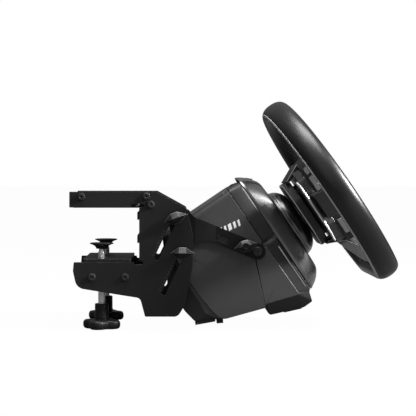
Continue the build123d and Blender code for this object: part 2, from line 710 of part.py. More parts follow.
bolt_head_start = front_arm_inside + arm_thickness + fit_gap
with BuildPart() as pivot_fasteners:
    for sign in (-1, 1):
        with BuildSketch(Plane.YZ.offset(sign * bolt_head_start)):
            with Locations(pivot_point):
                Circle(6.6)
        extrude(amount=sign * 2.2, taper=20)
        with BuildSketch(Plane.YZ.offset(sign * (bolt_head_start + 2.2))):
            with Locations(pivot_point):
                RegularPolygon(2.6, 6)
        extrude(amount=-sign * 1.6, mode=Mode.SUBTRACT)
        with BuildSketch(Plane.YZ.offset(sign * bolt_head_start)):
            with Locations(pivot_point):
                Circle(pivot_radius)
        extrude(amount=-sign * (bolt_head_start - inner_half_width))
        with BuildSketch(Plane.YZ.offset(sign * inner_half_width)):
            with Locations(pivot_point):
                Circle(pivot_radius - 0.52)
        extrude(amount=-sign * block_thickness)
        with BuildSketch(Plane.YZ.offset(sign * (inner_half_width - block_thickness))):
            with Locations(tilt_stud):
                Circle(stud_radius)
        extrude(amount=sign * (bolt_head_start + 9.0 - inner_half_width + block_thickness))
pivot_fasteners.part.label = "pivot_fasteners"
export_step(pivot_fasteners.part, "parts/pivot_fasteners.step")

# power button in the top of the bezel
with BuildPart() as power_button:
    with BuildSketch(button_plane):
        RectangleRounded(24.0, 5.0, 2.4)
    extrude(amount=-5.0)
power_button.part.label = "power_button"
export_step(power_button.part, "parts/power_button.step")

# ---------------------------------------------------------------- steering wheel
ring_back = 51.6
ring_front = 45.6
plate_back = 45.0
sleeve_radius = 19.5
with BuildPart() as steering_shaft:
    with BuildSketch(side_plane):
        with BuildLine():
            Polyline((plate_back + 1.0, 0), (plate_back + 1.0, shaft_radius), (motor_rear + 6.0, shaft_radius),
                     (motor_rear + 6.0, 0), close=True)
        make_face()
    revolve(axis=steering_axis)
steering_shaft.part.label = "steering_shaft"
export_step(steering_shaft.part, "parts/steering_shaft.step")

with BuildPart() as motor_rotor:
    with BuildSketch(face_plane(motor_rear - bearing_width - 4.0)):
        Circle(stator_bore - magnet_gap)
        Circle(shaft_radius + 0.02, mode=Mode.SUBTRACT)
    extrude(amount=motor_rear - motor_front - 2 * bearing_width - 8.0)
motor_rotor.part.label = "motor_rotor"
export_step(motor_rotor.part, "parts/motor_rotor.step")

with BuildPart() as quick_release_hub:
    with BuildSketch(face_plane(66.0)):
        Circle(sleeve_radius)
        Circle(shaft_radius + 0.02, mode=Mode.SUBTRACT)
    extrude(amount=66.0 - plate_back)
quick_release_hub.part.label = "quick_release_hub"
export_step(quick_release_hub.part, "parts/quick_release_hub.step")

ring_radius = 28.5
with BuildPart() as quick_release_ring:
    with BuildSketch(face_plane(ring_back)):
        Circle(ring_radius)
        Circle(sleeve_radius + 0.1, mode=Mode.SUBTRACT)
        with PolarLocations(ring_radius + 1.0, 24):
            Circle(1.8, mode=Mode.SUBTRACT)
    extrude(amount=ring_back - ring_front)
quick_release_ring.part.label = "quick_release_ring"
export_step(quick_release_ring.part, "parts/quick_release_ring.step")

hub_outline = [(-30.0, 49.0), (30.0, 49.0), (48.0, 22.0), (48.0, -26.0), (30.0, -48.0), (-30.0, -48.0),
               (-48.0, -26.0), (-48.0, 22.0)]
with BuildPart() as hub_back_plate:
    with BuildSketch(face_plane(plate_back)):
        with BuildLine():
            FilletPolyline(*hub_outline, radius=5.0, close=True)
        make_face()
    extrude(amount=6.0)
    chamfer(hub_back_plate.faces().sort_by(Axis(rim_centre, -to_driver))[-1].edges(), 1.2)
hub_back_plate.part.label = "hub_back_plate"
export_step(hub_back_plate.part, "parts/hub_back_plate.step")

# paddle mount between the back plate and the spokes, with a pivot pin near each side
mount_front = 31.2
paddle_pivot = 26.0
pin_radius = 1.5
with BuildPart() as paddle_mount:
    with BuildSketch(face_plane(plate_back - 6.0)):
        RectangleRounded(2 * paddle_pivot - 9.0, 76.0, 3.0)
    extrude(amount=plate_back - 6.0 - mount_front)
    for height in (-32.0, 32.0):
        with BuildSketch(face_plane(plate_back - 6.0)):
            with Locations((0, height)):
                RectangleRounded(2 * paddle_pivot + 7.0, 8.0, 1.0)
        extrude(amount=plate_back - 6.0 - mount_front)
    for sign in (-1, 1):
        with BuildSketch(Plane(origin=rim_centre - to_driver * 35.0 + across * sign * paddle_pivot
                               - to_top * 36.0, x_dir=across, z_dir=to_top)):
            Circle(pin_radius + 0.02)
        extrude(amount=72.0, mode=Mode.SUBTRACT)
paddle_mount.part.label = "paddle_mount"
export_step(paddle_mount.part, "parts/paddle_mount.step")

with BuildPart() as paddle_pins:
    for sign in (-1, 1):
        with BuildSketch(Plane(origin=rim_centre - to_driver * 35.0 + across * sign * paddle_pivot
                               - to_top * 36.0, x_dir=across, z_dir=to_top)):
            Circle(pin_radius)
        extrude(amount=72.0)
paddle_pins.part.label = "paddle_pins"
export_step(paddle_pins.part, "parts/paddle_pins.step")

# shift paddles: broad thin plates with a knuckle on the pin
paddle_reach = 90.0
paddle_outline = [(paddle_pivot + 4.2, 27.0, 1.0), (42.0, 27.5, 6.0), (66.0, 46.0, 6.0),
                  (paddle_reach, 38.0, 10.0), (paddle_reach, -30.0, 10.0), (66.0, -51.0, 6.0),
                  (42.0, -27.5, 6.0), (paddle_pivot + 4.2, -27.0, 1.0)]
for side, sign in (("left", -1), ("right", 1)):
    with BuildPart() as paddle:
        with BuildSketch(face_plane(35.0 + paddle_thickness / 2)):
            with BuildLine():
                FilletPolyline(*[(sign * x, t) for x, t, r in paddle_outline],
                               radius=[r for x, t, r in paddle_outline], close=True)
            make_face()
        extrude(amount=paddle_thickness)
        knuckle = Plane(origin=rim_centre - to_driver * 35.0 + across * sign * paddle_pivot - to_top * 27.0,
                        x_dir=across, z_dir=to_top)
        with BuildSketch(knuckle):
            Circle(3.0)
            with Locations((sign * 3.0, 0)):
                Rectangle(6.0, paddle_thickness)
        extrude(amount=54.0)
        with BuildSketch(knuckle):
            Circle(pin_radius + running_gap)
        extrude(amount=54.0, mode=Mode.SUBTRACT)
    paddle.part.label = f"paddle_{side}"
    export_step(paddle.part, f"parts/paddle_{side}.step")

# the D-shaped line that the rim follows, right half, from the bottom middle round to the top
line_radius = rim_radius - grip_width
line_flat = rim_flat - grip_width
corner_radius = 36.0
corner_x = sqrt((line_radius - corner_radius) ** 2 - (line_flat - corner_radius) ** 2)
tangent_scale = line_radius / (line_radius - corner_radius)
corner_angle = 0.5 * (Vector(0, -1).get_angle(Vector(corner_x, corner_radius - line_flat)))


def half_rim(section_half_depth, section_half_width, flat_section):
    """One half of a solid that follows the rim line, on the right of the middle plane."""
    corner_mid = Vector(sin(radians(corner_angle)), -cos(radians(corner_angle))) * corner_radius
    corner_mid += Vector(corner_x, corner_radius - line_flat)
    with BuildPart() as half:
        with BuildLine(face_plane(0.0)) as path:
            Line((0, -line_flat), (corner_x, -line_flat))
            ThreePointArc((corner_x, -line_flat), (corner_mid.X, corner_mid.Y),
                          (corner_x * tangent_scale, (corner_radius - line_flat) * tangent_scale))
            ThreePointArc((corner_x * tangent_scale, (corner_radius - line_flat) * tangent_scale),
                          (line_radius * cos(radians(10.0)), line_radius * sin(radians(10.0))),
                          (0, line_radius))
        with BuildSketch(side_plane):
            with Locations((0, -line_flat)):
                if flat_section:
                    RectangleRounded(2 * section_half_depth, 2 * section_half_width, 1.5)
                else:
                    Ellipse(section_half_depth, section_half_width)
        sweep(path=path.line)
    return half.part


rim_core_half = half_rim(core_depth, core_width, True)
with BuildPart() as rim_core:
    add(rim_core_half)
    mirror(about=Plane.YZ)
rim_core.part.label = "rim_core"
export_step(rim_core.part, "parts/rim_core.step")

# spoke frame: plate behind the hub case, two side spokes and a lower spoke, with tabs that reach the rim core
spoke_back = 31.0
spoke_front = 20.0
spoke_low = 17.0               # side spokes reach this far below the axis, and the rest of their height above
spoke_height = 36.0
side_tab = sqrt((line_radius - core_width) ** 2 - (spoke_height - spoke_low) ** 2) - 0.05
low_tab = line_flat - core_width - 0.05
tab_depth = 4.0
spoke_profile = [(46.0, 28.0), (98.0, 28.0), (124.0, 6.0), (124.0, -tab_depth), (116.0, -tab_depth),
                 (93.0, 19.5), (46.0, 19.5 + 0.6)]
with BuildPart() as spoke_frame:
    with BuildSketch(face_plane(spoke_back)):
        RectangleRounded(104.0, 112.0, 12.0)
        with Locations((0, 20.0)):
            RectangleRounded(26.0, 26.0, 5.0, mode=Mode.SUBTRACT)
    extrude(amount=spoke_back - spoke_front)
    for sign in (-1, 1):
        spoke_plane = Plane(origin=rim_centre - to_top * spoke_low, x_dir=across, z_dir=to_top)
        with BuildSketch(spoke_plane):
            with BuildLine():
                Polyline(*[(sign * x, b) for x, b in spoke_profile], close=True)
            make_face()
            with Locations((sign * (side_tab + 118.0) / 2, 0)):
                Rectangle(side_tab - 118.0, 2 * tab_depth)
        extrude(amount=spoke_height)
    with BuildSketch(side_offset(-15.0)):
        with BuildLine():
            Polyline((spoke_back, -46.0), (spoke_back, -54.0), (11.0, -103.0), (-tab_depth, -103.0),
                     (-tab_depth, -96.0), (spoke_front, -60.0), (spoke_front, -46.0), close=True)
        make_face()
        with Locations((0, -(low_tab + 98.0) / 2)):
            Rectangle(2 * tab_depth, low_tab - 98.0)
    extrude(amount=30.0)
spoke_frame.part.label = "spoke_frame"
export_step(spoke_frame.part, "parts/spoke_frame.step")

# rim grip: oval section round the core, pocketed for the spoke tabs
pocket_gap = 0.2
grip_half = half_rim(grip_depth, grip_width, False)
grip_channel = half_rim(core_depth, core_width, True)
with BuildPart() as rim_grip:
    add(grip_half)
    add(grip_channel, mode=Mode.SUBTRACT)
    mirror(about=Plane.YZ)
    for sign in (-1, 1):
        with BuildSketch(face_plane(tab_depth + pocket_gap)):
            with Locations((sign * (line_radius + 100.0) / 2, spoke_height / 2 - spoke_low)):
                Rectangle(line_radius - 100.0, spoke_height + 2 * pocket_gap)
        extrude(amount=2 * (tab_depth + pocket_gap), mode=Mode.SUBTRACT)
    with BuildSketch(face_plane(tab_depth + pocket_gap)):
        with Locations((0, -(line_flat + 80.0) / 2)):
            Rectangle(30.0 + 2 * pocket_gap, line_flat - 80.0)
    extrude(amount=2 * (tab_depth + pocket_gap), mode=Mode.SUBTRACT)
rim_grip.part.label = "rim_grip"
export_step(rim_grip.part, "parts/rim_grip.step")

# hub case, hub face and centre cap
case_back = spoke_front - 0.4
case_front = 2.0
case_wall = 3.0
case_back_size = (104.0, 122.0)
case_front_size = (112.0, 128.0)
case_rise = 1.0
with BuildPart() as hub_case:
    with BuildSketch(face_plane(case_back)):
        RectangleRounded(case_back_size[0], case_back_size[1], 16.0)
    with BuildSketch(face_plane(case_front)):
        with Locations((0, case_rise)):
            RectangleRounded(case_front_size[0], case_front_size[1], 18.0)
    loft()
    with BuildSketch(face_plane(case_back - case_wall)):
        RectangleRounded(case_back_size[0] - 2 * case_wall, case_back_size[1] - 2 * case_wall, 13.0)
    extrude(amount=case_back - case_wall - case_front, mode=Mode.SUBTRACT)
hub_case.part.label = "hub_case"
export_step(hub_case.part, "parts/hub_case.step")

face_thickness = 3.0
button_places = [(-38.0, 34.0), (-38.0, 12.0), (38.0, 34.0), (38.0, 12.0)]
with BuildPart() as hub_face:
    with BuildSketch(face_plane(case_front - fit_gap)):
        with Locations((0, case_rise)):
            RectangleRounded(case_front_size[0], case_front_size[1], 18.0)
        with Locations(*button_places):
            Circle(button_radius + 0.3, mode=Mode.SUBTRACT)
    extrude(amount=face_thickness)
hub_face.part.label = "hub_face"
export_step(hub_face.part, "parts/hub_face.step")

with BuildPart() as centre_cap:
    with BuildSketch(face_plane(case_front - fit_gap - face_thickness - 0.05)):
        Circle(20.0)
    extrude(amount=3.0, taper=20)
centre_cap.part.label = "centre_cap"
export_step(centre_cap.part, "parts/centre_cap.step")

for number, place in enumerate(button_places, start=1):
    with BuildPart() as button:
        with BuildSketch(face_plane(case_front + 2.0)):
            with Locations(place):
                Circle(button_radius)
        extrude(amount=2.0 + fit_gap + face_thickness + button_travel + 1.0)
        fillet(button.faces().sort_by(steering_axis)[-1].edges(), 0.8)
        with BuildSketch(face_plane(case_front + 3.5)):
            with Locations(place):
                Circle(button_radius + 1.5)
        extrude(amount=1.5)
    button.part.label = f"button_{number}"
    export_step(button.part, f"parts/button_{number}.step")
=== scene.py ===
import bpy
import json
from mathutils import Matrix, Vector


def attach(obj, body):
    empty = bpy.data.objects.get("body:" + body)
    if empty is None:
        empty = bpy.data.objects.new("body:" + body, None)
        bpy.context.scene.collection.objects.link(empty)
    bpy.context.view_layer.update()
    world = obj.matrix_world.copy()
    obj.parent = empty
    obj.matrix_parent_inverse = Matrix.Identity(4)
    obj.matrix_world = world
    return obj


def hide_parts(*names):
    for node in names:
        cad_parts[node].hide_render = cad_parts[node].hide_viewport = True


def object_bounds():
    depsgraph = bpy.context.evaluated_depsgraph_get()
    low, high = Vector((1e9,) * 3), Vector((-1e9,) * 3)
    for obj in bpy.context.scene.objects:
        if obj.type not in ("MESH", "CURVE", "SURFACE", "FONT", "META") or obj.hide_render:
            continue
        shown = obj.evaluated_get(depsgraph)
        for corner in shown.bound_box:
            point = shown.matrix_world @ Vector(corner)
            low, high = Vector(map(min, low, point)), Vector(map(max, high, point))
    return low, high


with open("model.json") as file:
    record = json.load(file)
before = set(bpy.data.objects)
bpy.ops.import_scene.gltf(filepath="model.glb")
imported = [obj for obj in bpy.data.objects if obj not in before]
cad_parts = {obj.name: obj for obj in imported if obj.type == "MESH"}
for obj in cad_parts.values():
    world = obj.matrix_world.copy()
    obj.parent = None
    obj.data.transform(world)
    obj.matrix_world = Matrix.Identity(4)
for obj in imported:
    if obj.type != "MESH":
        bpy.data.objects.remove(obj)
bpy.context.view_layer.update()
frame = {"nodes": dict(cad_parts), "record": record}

import json
import math

import bmesh
import bpy
import numpy as np
from mathutils import Vector

nodes = frame["nodes"]
mm = 0.001
owner = {node: body for body, members in frame["record"]["behaviour"]["bodies"].items() for node in members}

# where the steering axis crosses the rim plane, and how far that axis rises towards the driver
wheelAxis = {"y": -265.9, "z": 16.3, "tiltDegrees": 34.0}
axisCos = math.cos(math.radians(wheelAxis["tiltDegrees"]))
axisSin = math.sin(math.radians(wheelAxis["tiltDegrees"]))


# across, behind the rim plane and up the wheel's face, in mm: a turn by the axis tilt, then a move to the rim's middle
def wheelSpace(x, behind, up):
    x, behind, up = np.broadcast_arrays(x, behind, up)
    y = wheelAxis["y"] + behind * axisCos + up * axisSin
    z = wheelAxis["z"] - behind * axisSin + up * axisCos
    return np.stack([x, y, z], -1).astype(float)


# a grid of points becomes quads between neighbouring rows and columns; a closing point makes a fan of triangles
def gridFaces(rows, columns, closeRows, closeColumns):
    r = np.arange(rows if closeRows else rows - 1)
    c = np.arange(columns if closeColumns else columns - 1)
    r, c = np.meshgrid(r, c, indexing="ij")
    r2, c2 = (r + 1) % rows, (c + 1) % columns
    return np.stack([r * columns + c, r * columns + c2, r2 * columns + c2, r2 * columns + c], -1).reshape(-1, 4)


def gridPart(points, closeRows=False, closeColumns=True, startPoint=None, endPoint=None, rowFinish=None):
    rows, columns = points.shape[:2]
    corners = points.reshape(-1, 3)
    quads = gridFaces(rows, columns, closeRows, closeColumns)
    finish = np.zeros(rows, int) if rowFinish is None else np.asarray(rowFinish)
    quadFinish = np.repeat(finish[: len(quads) // (columns if closeColumns else columns - 1)],
                           columns if closeColumns else columns - 1)
    around = np.arange(columns)
    fans, fanFinish = [], []
    for point, row in ((startPoint, 0), (endPoint, rows - 1)):
        if point is not None:
            tip = np.full(columns, len(corners))
            corners = np.vstack([corners, np.asarray(point, float)[None]])
            fans.append(np.stack([row * columns + around, row * columns + (around + 1) % columns, tip], -1))
            fanFinish.append(np.full(columns, finish[0 if row == 0 else -1]))
    triangles = np.vstack(fans) if fans else np.zeros((0, 3), int)
    triangleFinish = np.concatenate(fanFinish) if fans else np.zeros(0, int)
    return corners, quads, triangles, quadFinish, triangleFinish


# several parts become one mesh, in metres, with its faces turned outwards and its edges kept sharp past an angle
def makePiece(name, parts, materials, body, replaced=(), sharpDegrees=32.0):
    points, faces, finish, start = [], [], [], 0
    for corners, quads, triangles, quadFinish, triangleFinish in parts:
        points.append(corners)
        faces += (quads + start).tolist() + (triangles + start).tolist()
        finish.append(np.concatenate([quadFinish, triangleFinish]))
        start += len(corners)
    mesh = bpy.data.meshes.new(name)
    mesh.from_pydata((np.vstack(points) * mm).tolist(), [], faces)
    mesh.polygons.foreach_set("material_index", np.concatenate(finish).astype(np.int32))
    work = bmesh.new()
    work.from_mesh(mesh)
    bmesh.ops.remove_doubles(work, verts=work.verts, dist=1e-7)
    bmesh.ops.recalc_face_normals(work, faces=work.faces)
    work.to_mesh(mesh)
    work.free()
    mesh.polygons.foreach_set("use_smooth", np.ones(len(mesh.polygons), bool))
    mesh.set_sharp_from_angle(angle=math.radians(sharpDegrees))
    piece = bpy.data.objects.new(name, mesh)
    bpy.context.scene.collection.objects.link(piece)
    for material in materials:
        mesh.materials.append(material)
    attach(piece, body)
    if replaced:
        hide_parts(*replaced)
    return piece


# each corner becomes a quadratic curve that starts and ends its own cut back along the two sides
def roundedOutline(corners, cuts, steps=5):
    here = np.asarray(corners, float)
    before, after = np.roll(here, 1, 0) - here, np.roll(here, -1, 0) - here
    cut = np.broadcast_to(np.asarray(cuts, float), len(here))[:, None]
    first = here + before / np.linalg.norm(before, axis=1, keepdims=True) * cut
    last = here + after / np.linalg.norm(after, axis=1, keepdims=True) * cut
    u = np.linspace(0, 1, steps)[None, :, None]
    curve = first[:, None] * (1 - u) ** 2 + here[:, None] * 2 * u * (1 - u) + last[:, None] * u ** 2
    return curve.reshape(-1, 2)


# each point moves in along the normal of the line through its two neighbours
def insetOutline(outline, amount):
    along = np.roll(outline, -1, 0) - np.roll(outline, 1, 0)
    normal = np.stack([along[:, 1], -along[:, 0]], -1)
    normal /= np.maximum(np.linalg.norm(normal, axis=1, keepdims=True), 1e-9)
    area = np.sum(outline[:, 0] * np.roll(outline[:, 1], -1) - np.roll(outline[:, 0], -1) * outline[:, 1])
    return outline - normal * amount * (1 if area > 0 else -1)


# rows of points closed at both ends by a fan round the end row's mean point
def capped(rows, rowFinish=None):
    return gridPart(rows, startPoint=rows[0].mean(0), endPoint=rows[-1].mean(0), rowFinish=rowFinish)


# a plate: its outline at each level, inset by that level's amount, with a flat fan over each end
def slabPart(outline, levels, place, rowFinish=None):
    return capped(np.stack([place(insetOutline(outline, inset), height) for height, inset in levels]), rowFinish)


# as a plate, but its two end faces keep the first finish
def edgedSlab(outline, levels, place, rowFinish):
    corners, quads, triangles, quadFinish, triangleFinish = slabPart(outline, levels, place, rowFinish)
    return corners, quads, triangles, quadFinish, 0 * triangleFinish


# an outline of places behind the rim and up the face, set at a distance to the left or right of the middle
def acrossSide(sign):
    return lambda outline, height: wheelSpace(sign * height, *outline.T)


# the left is at -X and the right at +X
sides = (("left", -1), ("right", 1))


# a profile of radius and distance along an axis, turned once round that axis
def turnedPart(profile, place, turns):
    radius, along = np.asarray(profile, float).T
    angle = np.linspace(0, 2 * np.pi, turns, endpoint=False)
    reach = radius[:, None] * np.ones(turns)
    grid = place(reach * np.cos(angle), reach * np.sin(angle), along[:, None] * np.ones(turns))
    return gridPart(grid, closeRows=True)


# two layers of noise over the object's own coordinates: broad patches move the colour and the gloss, fine ones the
# height
def buildGrainGroup():
    tree = bpy.data.node_groups.new("surfaceGrain", "ShaderNodeTree")
    face = tree.interface
    for name, kind, value in (("Dark", "NodeSocketColor", (0.02, 0.02, 0.02, 1)),
                              ("Light", "NodeSocketColor", (0.03, 0.03, 0.03, 1)),
                              ("Grain Scale", "NodeSocketFloat", 900.0), ("Patch Scale", "NodeSocketFloat", 14.0),
                              ("Gloss Low", "NodeSocketFloat", 0.35), ("Gloss High", "NodeSocketFloat", 0.5),
                              ("Stretch", "NodeSocketFloat", 1.0)):
        socket = face.new_socket(name=name, in_out="INPUT", socket_type=kind)
        socket.default_value = value
    for name, kind in (("Colour", "NodeSocketColor"), ("Roughness", "NodeSocketFloat"), ("Height", "NodeSocketFloat")):
        face.new_socket(name=name, in_out="OUTPUT", socket_type=kind)
    make = tree.nodes.new
    inside, outside = make("NodeGroupInput"), make("NodeGroupOutput")
    coordinates, stretch = make("ShaderNodeTexCoord"), make("ShaderNodeVectorMath")
    combine = make("ShaderNodeCombineXYZ")
    stretch.operation = "MULTIPLY"
    combine.inputs["Y"].default_value = combine.inputs["Z"].default_value = 1.0
    fine, broad = make("ShaderNodeTexNoise"), make("ShaderNodeTexNoise")
    fine.inputs["Detail"].default_value = 3.0
    broad.inputs["Detail"].default_value = 4.0
    blend, colour, gloss = make("ShaderNodeMath"), make("ShaderNodeMix"), make("ShaderNodeMapRange")
    blend.operation = "MULTIPLY_ADD"
    blend.inputs[1].default_value = 0.35
    colour.data_type = "RGBA"
    gloss.inputs["From Min"].default_value, gloss.inputs["From Max"].default_value = 0.3, 0.75
    join = tree.links.new
    join(inside.outputs["Stretch"], combine.inputs["X"])
    join(coordinates.outputs["Object"], stretch.inputs[0])
    join(combine.outputs[0], stretch.inputs[1])
    join(stretch.outputs[0], fine.inputs["Vector"])
    join(coordinates.outputs["Object"], broad.inputs["Vector"])
    join(inside.outputs["Grain Scale"], fine.inputs["Scale"])
    join(inside.outputs["Patch Scale"], broad.inputs["Scale"])
    join(fine.outputs["Fac"], blend.inputs[0])
    join(broad.outputs["Fac"], blend.inputs[2])
    join(blend.outputs[0], gloss.inputs["Value"])
    join(blend.outputs[0], colour.inputs["Factor"])
    join(inside.outputs["Dark"], colour.inputs["A"])
    join(inside.outputs["Light"], colour.inputs["B"])
    join(inside.outputs["Gloss Low"], gloss.inputs["To Min"])
    join(inside.outputs["Gloss High"], gloss.inputs["To Max"])
    join(colour.outputs["Result"], outside.inputs["Colour"])
    join(gloss.outputs["Result"], outside.inputs["Roughness"])
    join(fine.outputs["Fac"], outside.inputs["Height"])
    return tree


# where a rounded normal turns away from the flat one the surface has an edge; a noise breaks the mask up, and the mask
# paints a highlight along the edges
def buildEdgeGroup():
    tree = bpy.data.node_groups.new("edgeHighlight", "ShaderNodeTree")
    face = tree.interface
    for name, value in (("Amount", 1.0), ("Break Up", 60.0)):
        socket = face.new_socket(name=name, in_out="INPUT", socket_type="NodeSocketFloat")
        socket.default_value = value
    face.new_socket(name="Mask", in_out="OUTPUT", socket_type="NodeSocketFloat")
    face.new_socket(name="Soft Normal", in_out="OUTPUT", socket_type="NodeSocketVector")
    make = tree.nodes.new
    inside, outside = make("NodeGroupInput"), make("NodeGroupOutput")
    bevel, geometry, dot = make("ShaderNodeBevel"), make("ShaderNodeNewGeometry"), make("ShaderNodeVectorMath")
    bevel.samples = 6
    bevel.inputs["Radius"].default_value = 0.0006
    dot.operation = "DOT_PRODUCT"
    turn, noise, scale = make("ShaderNodeMapRange"), make("ShaderNodeTexNoise"), make("ShaderNodeMath")
    coordinates, limit = make("ShaderNodeTexCoord"), make("ShaderNodeMath")
    turn.inputs["From Min"].default_value, turn.inputs["From Max"].default_value = 0.995, 0.8
    scale.operation = limit.operation = "MULTIPLY"
    join = tree.links.new
    join(bevel.outputs["Normal"], dot.inputs[0])
    join(geometry.outputs["Normal"], dot.inputs[1])
    join(dot.outputs["Value"], turn.inputs["Value"])
    join(coordinates.outputs["Object"], noise.inputs["Vector"])
    join(inside.outputs["Break Up"], noise.inputs["Scale"])
    join(turn.outputs["Result"], scale.inputs[0])
    join(noise.outputs["Fac"], scale.inputs[1])
    join(scale.outputs[0], limit.inputs[0])
    join(inside.outputs["Amount"], limit.inputs[1])
    join(limit.outputs[0], outside.inputs["Mask"])
    join(bevel.outputs["Normal"], outside.inputs["Soft Normal"])
    return tree


grainGroup = buildGrainGroup()
edgeGroup = buildEdgeGroup()

# every finish: colours and gloss between two values, grain per metre, bump in mm, and how much its edges brighten with
# a painted highlight
finishes = {
    "platePaint": {"dark": 0.005, "light": 0.008, "grain": 1400, "gloss": (0.38, 0.5), "specular": 0.25,
                   "bump": 0.05, "edge": 0.6, "edgeColour": 0.1},
    "armPaint": {"dark": 0.0015, "light": 0.003, "grain": 1400, "gloss": (0.36, 0.48), "specular": 0.15,
                 "bump": 0.05, "edge": 0.5, "edgeColour": 0.07},
    "padRubber": {"dark": 0.01, "light": 0.018, "grain": 700, "gloss": (0.7, 0.85), "bump": 0.15, "edge": 0.0},
    "brightSteel": {"dark": 0.7, "light": 0.82, "grain": 1800, "gloss": (0.2, 0.32), "metal": 0.55, "bump": 0.01,
                    "edge": 0.0},
    "blackScrews": {"dark": 0.008, "light": 0.014, "grain": 1800, "gloss": (0.34, 0.46), "specular": 0.3,
                    "bump": 0.01, "edge": 0.7, "edgeColour": 0.22},
    "knobPlastic": {"dark": 0.003, "light": 0.005, "grain": 1600, "gloss": (0.34, 0.44), "specular": 0.25,
                    "bump": 0.03, "edge": 0.3, "edgeColour": 0.06},
    "shellPlastic": {"dark": 0.019, "light": 0.024, "grain": 2200, "gloss": (0.42, 0.55), "bump": 0.06, "edge": 0.4,
                     "edgeColour": 0.1},
    "darkPlastic": {"dark": 0.004, "light": 0.007, "grain": 2200, "gloss": (0.4, 0.52), "specular": 0.3,
                    "bump": 0.06, "edge": 0.3, "edgeColour": 0.05},
    "noseGloss": {"dark": 0.0025, "light": 0.004, "grain": 60, "gloss": (0.24, 0.3), "specular": 1.0, "coat": 1.0,
                  "bump": 0.0, "edge": 0.0},
    "hubPlastic": {"dark": 0.009, "light": 0.014, "grain": 1800, "gloss": (0.38, 0.5), "bump": 0.05, "edge": 0.5,
                   "edgeColour": 0.25},
    "wheelMetal": {"dark": 0.62, "light": 0.8, "grain": 1500, "gloss": (0.2, 0.32), "metal": 1.0, "stretch": 0.06,
                   "bump": 0.01, "edge": 0.0},
    "plateMetal": {"dark": 0.035, "light": 0.05, "grain": 1500, "gloss": (0.3, 0.42), "metal": 0.6, "stretch": 0.06,
                   "bump": 0.02, "edge": 0.8, "edgeColour": 0.5},
    "gripLeather": {"dark": 0.0015, "light": 0.003, "grain": 1300, "gloss": (0.27, 0.36), "specular": 0.4,
                    "bump": 0.1, "edge": 0.0},
    "innerIron": {"dark": 0.1, "light": 0.16, "grain": 1500, "gloss": (0.4, 0.55), "metal": 1.0, "bump": 0.03,
                  "edge": 0.2, "edgeColour": 0.3},
    "boardGreen": {"dark": 0.008, "light": 0.02, "tint": (0.35, 1.0, 0.45), "grain": 900, "gloss": (0.3, 0.45),
                   "bump": 0.03, "edge": 0.0},
    "buttonPlastic": {"dark": 0.02, "light": 0.03, "grain": 1500, "gloss": (0.2, 0.3), "bump": 0.02, "edge": 0.3,
                      "edgeColour": 0.1},
    "skirtPlastic": {"dark": 0.024, "light": 0.03, "grain": 2200, "gloss": (0.42, 0.55), "bump": 0.06, "edge": 0.3,
                     "edgeColour": 0.12},
    # the spoke frame's lighter grey is a painted reflection of a softbox, with a strong painted highlight on its edges
    "spokeReflectionGrey": {"dark": 0.07, "light": 0.1, "grain": 900, "gloss": (0.26, 0.34), "metal": 0.5, "bump": 0.0,
                   "edge": 0.8, "edgeColour": 0.7},
    # a bright metal finish laid on bevels: a painted highlight where the edges catch the light
    "bevelHighlight": {"dark": 0.6, "light": 0.72, "grain": 1500, "gloss": (0.3, 0.4), "metal": 0.45, "bump": 0.0,
                   "edge": 0.0},
    # a lighter copy of the knob plastic for the wings' rolled top edges: a painted highlight
    "knobRimHighlight": {"dark": 0.03, "light": 0.045, "grain": 1600, "gloss": (0.3, 0.4), "bump": 0.02, "edge": 0.8,
                 "edgeColour": 0.35},
    "seamThread": {"dark": 0.42, "light": 0.52, "grain": 1500, "gloss": (0.5, 0.6), "bump": 0.0, "edge": 0.0},
    "markWhite": {"dark": 0.55, "light": 0.7, "grain": 1800, "gloss": (0.45, 0.6), "bump": 0.01, "edge": 0.0},
    "flankPlastic": {"dark": 0.05, "light": 0.07, "grain": 1800, "gloss": (0.38, 0.5), "bump": 0.05, "edge": 0.5,
                     "edgeColour": 0.4},
    "markGrey": {"dark": 0.03, "light": 0.045, "grain": 1800, "gloss": (0.45, 0.6), "bump": 0.01, "edge": 0.0},
}


